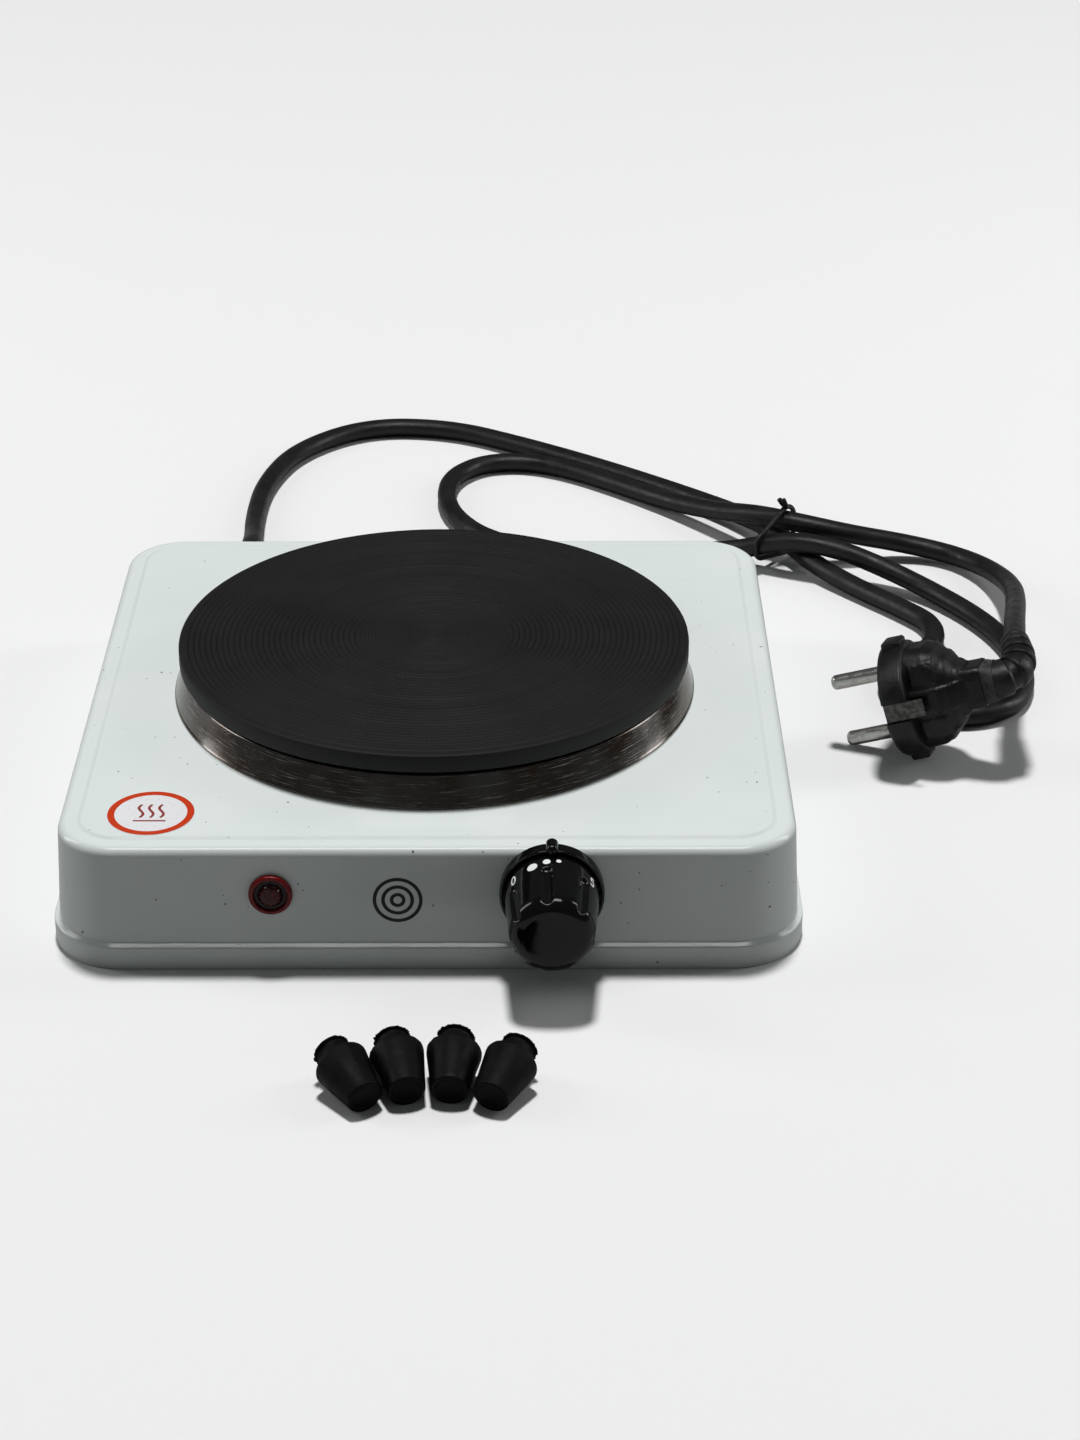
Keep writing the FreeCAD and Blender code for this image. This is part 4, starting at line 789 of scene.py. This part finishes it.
def inkDot(radius, lay, rings=4, sides=28):
    vertices = [lay(0, 0, 1)]
    faces = []
    for r, lift in [(r, 1) for r in range(1, rings + 1)] + [(rings, 0)]:
        for k in range(sides):
            a = tau * k / sides
            vertices.append(lay(radius * r / rings * cos(a), radius * r / rings * sin(a), lift))
    for k in range(sides):
        n = (k + 1) % sides
        faces.append((0, 1 + k, 1 + n))
        for r in range(rings):
            first = 1 + r * sides
            faces.append((first + k, first + sides + k, first + sides + n, first + n))
    faces.append(tuple(1 + rings * sides + k for k in range(sides)))
    return vertices, faces


def gathered(name, drawings):
    vertices = []
    faces = []
    for more, moreFaces in drawings:
        faces += [tuple(i + len(vertices) for i in face) for face in moreFaces]
        vertices += more
    return makePiece(name, vertices, faces, sharp=60)


def inkRings(name, radii, width, lay, steps):
    return gathered(name, [inkStroke(arcPoints(0, 0, r, r, 0, 360, steps), width, lay) for r in radii])


def onKnob(angle, depth):
    def lay(x, y, lift):
        # x runs clockwise round the knob and y to the back
        along = depth + y
        radius = knobSide(along) + (marks["ink"] if lift else -marks["sunk"])
        turn = radians(angle) + x / knobSide(along)
        return knobPlace @ Vector((radius * cos(turn), radius * sin(turn), along))
    return lay


def makeMarks():
    drawings = []
    for number, strokes in digits.items():
        lay = onKnob(marks["zeroAt"] + marks["step"] * number, marks["depth"])
        for stroke in strokes:
            sized = [(x * marks["width"] / 2, y * marks["height"] / 2) for x, y in stroke]
            drawings.append(inkStroke(sized, marks["line"], lay))
    for angle, radius, depth in marks["dots"]:
        drawings.append(inkDot(radius, onKnob(angle, depth)))
    return gathered("knob_marks", drawings)


finished(makeMarks(), printFinish("white pad print", "#E9ECEB", 0.42), body="knob")
print("knob and its marks")

# bezel behind the knob, with the pointer on top

bezel = {
    "radius": 14.7, "rim": 0.9, "frontY": -106.16, "rimDepth": 1.2, "hole": 4.6, "thick": 3.0,
    "nub": 1.75, "nubRise": 0.3, "nubLength": 3.0, "nubBack": 2.2,
}


def makeBezel():
    radius, thick, hole, nub = (bezel[k] for k in ("radius", "thick", "hole", "nub"))
    inside = radius - bezel["rim"]
    outline = roundedLine([
        (hole, 0.0, 0.2), (inside, 0.0, 0.2), (inside, -bezel["rimDepth"], 0.25),
        (radius, -bezel["rimDepth"], 0.6), (radius, thick), (hole, thick),
    ], 4, closed=True)
    place = facing(knobAxis.x, bezel["frontY"], knobAxis.z)
    piece = spun("bezel_ring", outline, place, 160, ring=True, sharp=50)
    for vertex in piece.data.vertices:
        if vertex.co.y > (bezel["frontY"] + thick - 0.1) * mm:
            vertex.co.y = wallY(vertex.co.z / mm) * mm  # its back lies on the leaning wall
    middle = Vector((knobAxis.x, bezel["frontY"] + bezel["nubBack"], knobAxis.z + radius + bezel["nubRise"]))
    ball = [(0, 0), (nub, 0)]
    for a in range(0, 90, 10):
        turn = radians(a)
        ball.append((nub * cos(turn), bezel["nubLength"] + nub * sin(turn)))
    ball.append((0, bezel["nubLength"] + nub))
    nub = spun("nub", ball, basis(middle, right, up, -back), 40)
    carved(piece, [nub], "UNION", sharp=50)
    return piece


finished(makeBezel(), gloss, ["knob_bezel"])

# pilot lamp: moulded red lens

lamp = {
    "at": (-43.5, 23.5), "rim": 6.2, "lens": 4.9, "rimDepth": 1.4, "dome": 1.0, "facets": 12, "button": 3.1,
    "length": 14.0, "bore": 4.0,
}


def makeLens():
    x, z = lamp["at"]
    place = facing(x, wallY(z) - lamp["rimDepth"], z)
    button, rim, depth, body = (lamp[k] for k in ("button", "rim", "rimDepth", "lens"))

    def faceted(radius, depth, angle):
        if 2.0 < radius < 4.0 and depth < 0.3:
            star = 0.5 + 0.5 * cos(angle * lamp["facets"])
            return radius + 0.35 * star, depth - 0.12 * star
        return radius, depth

    outline = roundedLine([
        (0, -lamp["dome"] + 0.35), (1.2, -lamp["dome"] + 0.4, 0.3), (button - 0.5, -0.35, 0.3),
        (button, 0.25, 0.2), (button + 0.6, 0.75, 0.2), (body - 0.4, 0.7, 0.3), (body, -0.1, 0.4),
        (rim, 0.0, 0.7), (rim, depth - 0.05), (body, depth + 0.1), (body, lamp["length"]),
        (lamp["bore"], lamp["length"]), (lamp["bore"], 1.8), (0, 1.8),
    ], 4)
    return spun("ruby_lens", outline, place, 144, shape=faceted, sharp=30)


def lensFinish():
    # deep moulded ruby, with light and shade painted in rings: painted shade, near black, in the recess round
    # the button, and a painted highlight, bright red, on the rim
    material, tree, shader, where = newFinish("ruby polycarbonate", IOR=1.42, Transmission_Weight=0.3)
    x, z = lamp["at"]
    centre = addNode(tree, "VectorMath", {0: where, 1: Vector((-x, 0, -z)) * mm}, operation="ADD")
    flat = addNode(tree, "Mapping", {"Vector": centre, "Scale": (1, 0, 1)})
    radius = addNode(tree, "VectorMath", {0: flat}, "Value", operation="LENGTH")
    # painted shade: from the button's edge outward the lens is drawn near black
    groove = addNode(tree, "MapRange", {"Value": radius, "From Min": 2.8 * mm, "From Max": 3.7 * mm})
    # painted highlight: the rim is drawn bright red
    rim = addNode(tree, "MapRange", {"Value": radius, "From Min": 4.3 * mm, "From Max": 5.4 * mm})
    cloud = (0.8, 0.35, 0.65)
    dressed(tree, shader, where, "#420307", [(cloud, "#6A070B"), (groove, "#120101"), (rim, "#8E0A10")],
            0.08, [(cloud, 0.04)])
    return material


finished(makeLens(), lensFinish(), ["lamp_lens"])
print("bezel and lamp")

# sticker on the top and print on the front

label = {
    "at": (-78.3, -84.0), "radius": 12.4, "ring": 2.0, "film": 0.1, "ink": 0.02,
    "barHalf": 4.6, "barY": -4.4, "waves": (-2.9, 0.0, 2.9),
}


def onLabel(x, y, lift):
    height = label["film"] + label["ink"] if lift else label["film"] * 0.5
    return Vector((label["at"][0] + x, label["at"][1] + y, panelZ + height))


def makeLabel():
    place = Matrix.Translation(Vector((*label["at"], panelZ)))
    film = label["film"]
    radius = label["radius"]
    outline = roundedLine([(0, film), (radius, film, 0.05), (radius, 0.005), (0, 0.005)], 3)
    return spun("label_film", outline, place, 128)


def makeLabelWaves():
    # three rising waves over a bar
    half, low = label["barHalf"], label["barY"]
    drawings = [inkStroke(runPoints([(-half, low), (half, low)], 8), 0.75, onLabel)]
    for x in label["waves"]:
        wave = [(x + 0.75 * sin(tau * t / 24), -2.6 + 7.4 * t / 24) for t in range(25)]
        drawings.append(inkStroke(wave, 0.8, onLabel))
    return gathered("label_waves", drawings)


finished(makeLabel(), printFinish("white label film", "#E4E4E6", 0.32), ["caution_label"])
labelMiddle = label["radius"] - 0.1 - label["ring"] / 2
labelRing = inkRings("label_ring", [labelMiddle], label["ring"], onLabel, 120)
finished(labelRing, printFinish("vermilion label ink", "#C63A14", 0.36))
finished(makeLabelWaves(), printFinish("brown label ink", "#8E3A36", 0.4))

emblem = {"at": (-8.0, 21.5), "rings": (6.5, 4.1, 1.7), "line": 1.0, "ink": 0.06, "sunk": 0.02}


def onWall(x, z, lift):
    height = emblem["at"][1] + z
    return Vector((emblem["at"][0] + x, wallY(height) - (emblem["ink"] if lift else -emblem["sunk"]), height))


emblemRings = inkRings("emblem_rings", emblem["rings"], emblem["line"], onWall, 72)
finished(emblemRings, printFinish("black screen print", "#121212", 0.4), ["front_emblem"])
print("label and emblem")

# gland where the lead leaves the back

gland = {
    "at": (-70.0, 14.0), "flange": 8.5, "inner": 7.4, "groove": 6.2, "root": 5.9, "tip": 4.7, "bore": 3.5,
    "thick": 2.2, "ribs": 5,
}


def makeGland():
    wall = -wallY(gland["at"][1])
    end = leadRoute[0][1]
    place = basis(Vector((gland["at"][0], 0, gland["at"][1])), right, -up, back)
    bore, inner, groove, flange, ribs = (gland[k] for k in ("bore", "inner", "groove", "flange", "ribs"))
    tail = wall + gland["thick"]
    corners = [(bore, wall - 2.4), (inner, wall - 2.4, 0.4), (inner, wall - 0.8), (groove, wall - 0.8),
               (groove, wall), (flange, wall, 0.1), (flange, tail, 0.9)]
    pitch = (end - tail) / ribs
    for i in range(ribs):
        radius = gland["root"] + (gland["tip"] - gland["root"]) * i / ribs
        start = tail + pitch * i
        corners += [(radius, start, 0.3), (radius - 0.2, start + pitch * 0.62, 0.3),
                    (bore + 0.9, start + pitch * 0.62, 0.3), (bore + 0.9, start + pitch, 0.3)]
    corners += [(bore + 1.1, end, 0.3), (bore, end)]
    return spun("lead_gland", roundedLine(corners, 3, closed=True), place, 72, ring=True, sharp=50)


# dull soft black, slightly greyed by dust, with flow marks from the mould
rubber = simpleFinish(
    "moulded black rubber", "#030303", [((5.0, 0.35, 0.7), "#070707"), ((0.8, 0.68, 0.8), "#1C1B1A")],
    ((5.0, 0.35, 0.7), 0.42, 0.62), [((2.2, 0.25, 0.75), 0.06), ((0.4, 0.3, 0.7), 0.02)],
    IOR=1.38, Specular_IOR_Level=0.25)
finished(makeGland(), rubber, ["cord_gland"])
print("gland")

# plug: two-pin moulded plug with its bend guard

plug = {
    "face": (145.5, 22.8, 17.9), "heading": -16.6, "pitch": 20.7, "roll": 9.6, "radius": 18.2, "disc": 8.0,
    # how far back, then half the width along and across the pins
    "grip": ((7.0, 16.6, 11.6), (13.5, 16.3, 11.6), (16.0, 15.4, 11.4), (19.5, 12.2, 10.4), (22.5, 8.8, 8.2),
             (25.0, 7.4, 7.0)),
    "band": 4.0, "bandRise": 0.8, "panel": (8.9, 17.5), "panelEnd": 13.0, "panelDrop": 0.5, "knurl": 0.22,
    "collar": 13.5, "collarSpan": (23.0, 30.0), "earthWidth": 6.4, "earthDepth": 2.6, "earthLength": 13.0,
    "pinPitch": 19.0, "pin": 2.4, "pinDepth": 7,
}
guard = {
    "root": 6.4, "tip": 4.5, "ribs": 6, "ribDepth": 0.9,
    "through": ((178.0, 13.4, 30.4), (182.2, 16.6, 32.2), (183.4, 23.0, 33.0), (183.6, 29.8, 32.7)),
}


def plugPlace():
    # x along the pin line, y across it, z from the front face to the lead
    heading, pitch, roll = (radians(plug[k]) for k in ("heading", "pitch", "roll"))
    axis = Vector((cos(heading) * cos(pitch), sin(heading) * cos(pitch), sin(pitch)))
    side = (-axis).cross(up).normalized()
    upward = side.cross(-axis)
    pinLine = upward * cos(roll) + side * sin(roll)
    return basis(Vector(plug["face"]), pinLine, axis.cross(pinLine), axis)


def between(table, z):
    for a, b in zip(table, table[1:]):
        if z <= b[0]:
            share = max(0.0, (z - a[0]) / (b[0] - a[0]))
            share = share * share * (3 - 2 * share)
            return [a[k] + (b[k] - a[k]) * share for k in (1, 2)]
    return list(table[-1][1:])


def makeGrip(place):
    rings = []
    first, last = plug["grip"][0][0], plug["grip"][-1][0]
    panelStart, panelStop = plug["panel"]
    panelSide = plug["band"] + 1.2
    panelEnd = plug["panelEnd"]
    rows = 52
    for j in range(rows + 1):
        z = first + (last - first) * j / rows
        halfX, halfY = between(plug["grip"], z)
        ring = []
        for i in range(180):
            angle = tau * i / 180
            c, s = cos(angle), sin(angle)
            x = halfX * copysign(abs(c) ** 0.8, c)
            y = halfY * copysign(abs(s) ** 0.55, s)
            band = max(0.0, min(1.0, (plug["band"] - abs(x)) / 0.5 + 0.5))
            fade = max(0.0, min(1.0, (last - z) / 4.0))
            rise = plug["bandRise"] * band * fade
            if panelStart < z < panelStop and panelSide < abs(x) < panelEnd:
                edge = min(z - panelStart, panelStop - z, abs(x) - panelSide, panelEnd - abs(x), 0.6) / 0.6
                grain = noise.noise(Vector((x, z, copysign(4.0, y))) * 1.6)
                rise -= plug["panelDrop"] * edge - plug["knurl"] * edge * grain
            ring.append(place @ Vector((x, y + copysign(rise, s) * min(1.0, abs(s) * 1.5), z)))
        rings.append(ring)
    return lofted("grip", rings, sharp=50)


def makePlug():
    place = plugPlace()
    radius = plug["radius"]
    disc = roundedLine([(0, 0), (radius - 0.6, 0, 0.4), (radius, 1.2, 0.5), (radius, plug["disc"] - 0.2, 1.0),
                        (radius - 2.4, plug["disc"] + 0.4, 0.6), (0, plug["disc"] + 0.4)], 4)
    piece = spun("plug_moulding", disc, place, 128, sharp=40)
    half = plug["collar"] / 2
    start, end = plug["collarSpan"]
    collar = []
    for z, inset in ((start, 0.9), (start + 0.5, 0.1), (start + 1.0, 0),
                     (end - 0.8, 0), (end - 0.2, 0.25), (end, 0.8)):
        ring = roundedRing(half - inset, half - inset, 2.2 - inset, 8, 4)
        collar.append([place @ Vector((p.x, p.y, z)) for p in ring])
    ears = []
    for side in (-1, 1):
        ear = []
        for z, inset in ((0.9, 0.5), (1.3, 0.1), (1.8, 0), (6.4, 0), (7.0, 0.4)):
            ring = roundedRing(2.6 - inset, 4.2 - inset, 0.7, 5, 3)
            ear.append([place @ Vector((side * (radius - 1.2) + p.x, p.y, z)) for p in ring])
        ears.append(lofted("ear", ear))
    carved(piece, [makeGrip(place), lofted("collar", collar)] + ears, "UNION", sharp=40)
    cutters = []
    width, length = plug["earthWidth"] / 2, plug["earthLength"]
    for side in (-1, 1):
        near, far = sorted((side * (radius - plug["earthDepth"]), side * (radius + 3)))
        cutters.append(block("earth", -width, width, near, far, -1, plug["disc"] + 0.9, place))
        near, far = sorted((side * (plug["grip"][0][2] + 0.1), side * (radius + 3)))
        cutters.append(block("earth", -width + 0.8, width - 0.8, near, far, plug["disc"], length, place))
        shift = place @ Matrix.Translation(Vector((side * plug["pinPitch"] / 2, 0, -1)))
        pin, deep = plug["pin"], plug["pinDepth"]
        cutters.append(spun("bore", [(0, 0), (pin, 0), (pin, deep), (0, deep)], shift, 40))
    carved(piece, cutters, sharp=40)
    return piece


def makeCollarCap():
    # the worn shoulder between the collar and the bend guard
    place = plugPlace()
    rings = []
    start = plug["collarSpan"][1]
    half = plug["collar"] / 2 - 0.6
    for past, share in ((-0.6, 0.0), (0.6, 0.0), (1.5, 0.25), (2.6, 0.7), (3.6, 1.0)):
        ring = []
        for p in roundedRing(half, half, 2.0, 8, 4):
            circle = p.normalized() * (guard["root"] + 0.1)
            flat = p.lerp(circle, share)
            ring.append(place @ Vector((flat.x, flat.y, start + past)))
        rings.append(ring)
    return lofted("plug_shoulder", rings, sharp=50)


def makeGuard():
    root = plugPlace() @ Vector((0, 0, plug["collarSpan"][1] + 0.6))
    spine = pointsAlong((root, *guard["through"], leadRoute[-1]))
    lengths = [0.0]
    for a, b in zip(spine, spine[1:]):
        lengths.append(lengths[-1] + (b - a).length)
    rows = 150
    points = []
    radii = []
    k = 0
    for j in range(rows + 1):
        target = lengths[-1] * j / rows
        while k < len(lengths) - 2 and lengths[k + 1] < target:
            k += 1
        share = (target - lengths[k]) / max(lengths[k + 1] - lengths[k], 1e-6)
        points.append(spine[k].lerp(spine[k + 1], min(share, 1.0)))
        along = j / rows
        radius = guard["root"] + (guard["tip"] - guard["root"]) * along
        phase = (along * (guard["ribs"] + 0.5)) % 1.0
        groove = 0.0 if along < 0.12 else max(0.0, min(1.0, (0.24 - abs(phase - 0.5)) / 0.1))
        radii.append(radius - guard["ribDepth"] * groove)
    return lofted("bend_guard", tubeRings(points, radii, 48), sharp=45)


# satin black with a stippled mould skin, rubbed grey on the high spots
vinyl = simpleFinish(
    "moulded black PVC", "#0A0A0A", [((6.0, 0.35, 0.7), "#141414"), ((0.5, 0.66, 0.8), "#343434")],
    ((6.0, 0.35, 0.7), 0.34, 0.52), [((0.7, 0.25, 0.75), 0.05), ((3.0, 0.25, 0.75), 0.06)], IOR=1.53)
# scuffed pale grey where the moulding has dragged on the floor
rubbedVinyl = twoTone("rubbed black PVC", ("#2E2D2D", "#4C4A49"), (0.5, 0.7), 0.0, 3.0, 0.5, 0.05)
plugPiece = finished(makePlug(), vinyl, ["plug_body"])
shoulder = finished(makeCollarCap(), rubbedVinyl)
guardPiece = finished(makeGuard(), vinyl, ["plug_strain_relief"])
print("plug moulded")

# feet: four loose rubber feet with flash left on their rims

foot = {
    "small": 5.2, "big": 7.4, "body": 14.4, "neck": 4.2, "neckLength": 5.0, "lip": 4.8, "lipLength": 1.3,
    "round": 1.0, "flash": 0.45,
    "places": ((-14.0, -176.0, 120.5), (-3.3, -173.3, 103.4), (7.9, -172.9, 86.0), (18.6, -175.9, 66.6)),
}


def makeFoot(number, x, y, heading):
    small, big, body, neck, lip = (foot[k] for k in ("small", "big", "body", "neck", "lip"))
    slope = atan2(big - small, body - 2 * foot["round"])
    turn = radians(heading)
    way = Vector((cos(turn) * cos(slope), sin(turn) * cos(slope), sin(slope)))
    aside = up.cross(way).normalized()
    restZ = small * cos(slope) - foot["round"] * sin(slope)
    place = basis(Vector((x, y, restZ)), aside, way.cross(aside), way)
    neckEnd = body + foot["neckLength"]

    def ragged(radius, height, angle):
        # the torn edges of the moulding, at the head's rim and the shoulder, but not where it rests
        rim = exp(-((height - neckEnd - 0.35) / 0.3) ** 2) if radius > neck else 0.0
        shoulderEdge = exp(-((height - body + 0.7) / 0.35) ** 2) if radius > big - 1.5 else 0.0
        clear = 0.5 + 0.5 * sin(angle)
        spot = Vector((cos(angle), sin(angle), number))
        tear = noise.noise(spot * 5.0)
        fine = noise.noise(spot * 17.0)
        swell = foot["flash"] * (rim * (0.5 + tear + fine) + shoulderEdge * clear * max(0.0, tear + 0.4 * fine))
        return radius + swell, height + rim * 0.25 * fine

    outline = roundedLine([
        (0, 0.25), (small - 1.6, 0.25, 0.4), (small - 1.2, 0, 0.4), (small - 0.1, 0, foot["round"]),
        (small + 0.05, 1.2), (small + (big - small) * 0.5, body * 0.5), (big, body - foot["round"]),
        (big, body, foot["round"] * 0.8), (neck + 0.1, body - 0.1, 0.6), (neck, neckEnd - 0.1, 0.4),
        (lip + 0.1, neckEnd, 0.3), (lip, neckEnd + 0.7, 0.3), (neck - 0.4, neckEnd + foot["lipLength"], 0.3),
        (0, neckEnd + foot["lipLength"]),
    ], 5)
    return spun("rubber_foot_%d" % number, outline, place, 120, shape=ragged, sharp=50)


for number, (x, y, heading) in enumerate(foot["places"], 1):
    node = "foot_%d" % number
    finished(makeFoot(number, x, y, heading), rubber, [node], node)
print("feet moulded")

# the inner parts keep their shapes and get their finishes

# slot: name, two colours, two roughnesses, metallic, patch and grain in millimetres, depth, stretch
innerFinishes = {
    # dull blue-grey plating with a faint spangle, on rolled and pressed sheet
    "zinc_sheet": ("zinc plated sheet steel", ("#A9ADB0", "#8E9295"), (0.32, 0.48), 1.0, 5.0, 0.8, 0.01),
    # bright turned and plated steel with fine marks
    "steel": ("bright zinc plated screws", ("#B4B5B6", "#96979A"), (0.22, 0.38), 1.0, 1.5, 0.4, 0.01),
    # two rolled metals, straw coloured from the heat
    "bimetal": ("rolled bimetal strip",
        ("#9C9488", "#8A7C68"), (0.3, 0.45), 1.0, 3.0, 0.5, 0.01, (4.0, 1.0, 1.0)),
    # turned yellow metal, browned by handling
    "brass": ("turned brass", ("#C4A05A", "#A5813C"), (0.2, 0.38), 1.0, 2.0, 0.4, 0.01),
    # soft bright metal, pressed to a dome and slightly sooty
    "silver": ("riveted silver contacts", ("#D6D6D8", "#9A9896"), (0.2, 0.4), 1.0, 0.6, 0.3, 0.01),
    # milky and waxy, from a smooth mould
    "white_plastic": ("moulded white nylon", ("#E2E0D8", "#D4D0C4"), (0.4, 0.52), 0.0, 4.0, 0.8, 0.02),
    # satin jacket of the short end inside, drawn from a die
    "pvc_black": ("extruded black PVC", ("#0E0E0E", "#181818"), (0.36, 0.5), 0.0, 5.0, 0.6, 0.02),
    # chalky pressed powder
    "magnesia": ("pressed magnesia", ("#CFC9BD", "#BDB5A6"), (0.85, 0.95), 0.0, 4.0, 0.7, 0.08),
    # frosty silver coating on rolled sheet
    "aluminised": ("aluminised steel sheet", ("#C2C5C8", "#ABAEB1"), (0.3, 0.46), 1.0, 6.0, 0.8, 0.01),
    # drawn wire, blackened by red heat
    "coil_wire": ("oxidised resistance wire", ("#5A5550", "#3E3A37"), (0.5, 0.7), 0.8, 1.5, 0.4, 0.02),
    # rough cream ceramic, pressed and fired
    "steatite": ("unglazed steatite", ("#E0DACB", "#D2CAB8"), (0.6, 0.75), 0.0, 3.0, 0.5, 0.03),
    # blue-grey hardened strip
    "spring_steel": ("rolled spring steel",
        ("#8A8D92", "#74777C"), (0.28, 0.4), 1.0, 2.0, 0.4, 0.01, (3.0, 1.0, 1.0)),
    # woven glass yarn, drawn coarser than its 0.3 mm weave, which would not show
    "glass_sleeve": ("braided glass sleeving", ("#E3DED0", "#C6BFAE"), (0.7, 0.85), 0.0, 0.6, 0.5, 0.12),
    # dipped and lacquered, so softly shiny
    "resistor": ("lacquered resistor", ("#B39A6E", "#A0875A"), (0.3, 0.4), 0.0, 1.0, 0.4, 0.02),
    # satin brown insulation, drawn from a die
    "brown_wire": ("brown extruded PVC", ("#5C3320", "#4A2818"), (0.35, 0.5), 0.0, 4.0, 0.6, 0.02),
    # satin blue insulation, drawn from a die
    "blue_wire": ("blue extruded PVC", ("#24509A", "#1C4284"), (0.35, 0.5), 0.0, 4.0, 0.6, 0.02),
    # satin green insulation with yellow stripes, drawn from a die
    "earth_wire": ("green and yellow PVC", ("#3F8A2A", "#D2BE22"), (0.35, 0.5), 0.0, 2.5, 0.6, 0.02),
    # plated and mirror bright, with dull finger marks
    "nickel": ("nickel plated brass", ("#F0EEEA", "#D6D3CE"), (0.16, 0.3), 1.0, 2.5, 0.9, 0.002),
}


# clear blown glass with faint ripples
made = {"lamp_glass": simpleFinish("blown clear glass", "#F2EFEA", [], 0.03, [((1.5, 0.3, 0.7), 0.02)],
                                   IOR=1.5, Transmission_Weight=1.0)}
for slot, values in innerFinishes.items():
    made[slot] = twoTone(*values)
# bent from plated strip, rougher than the pins, so it hardly shines; its grey is a darker copy of the nickel,
# painted shade
shadedNickel = twoTone("dull nickel plated strip", ("#7C7A77", "#5E5C5A"), (0.4, 0.6), 1.0, 1.5, 0.5, 0.02)
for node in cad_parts:
    for place in bpy.data.objects[node].material_slots:
        if place.material and place.material.name in made:
            place.material = shadedNickel if node == "plug_earth_contacts" else made[place.material.name]
print("inner parts finished")
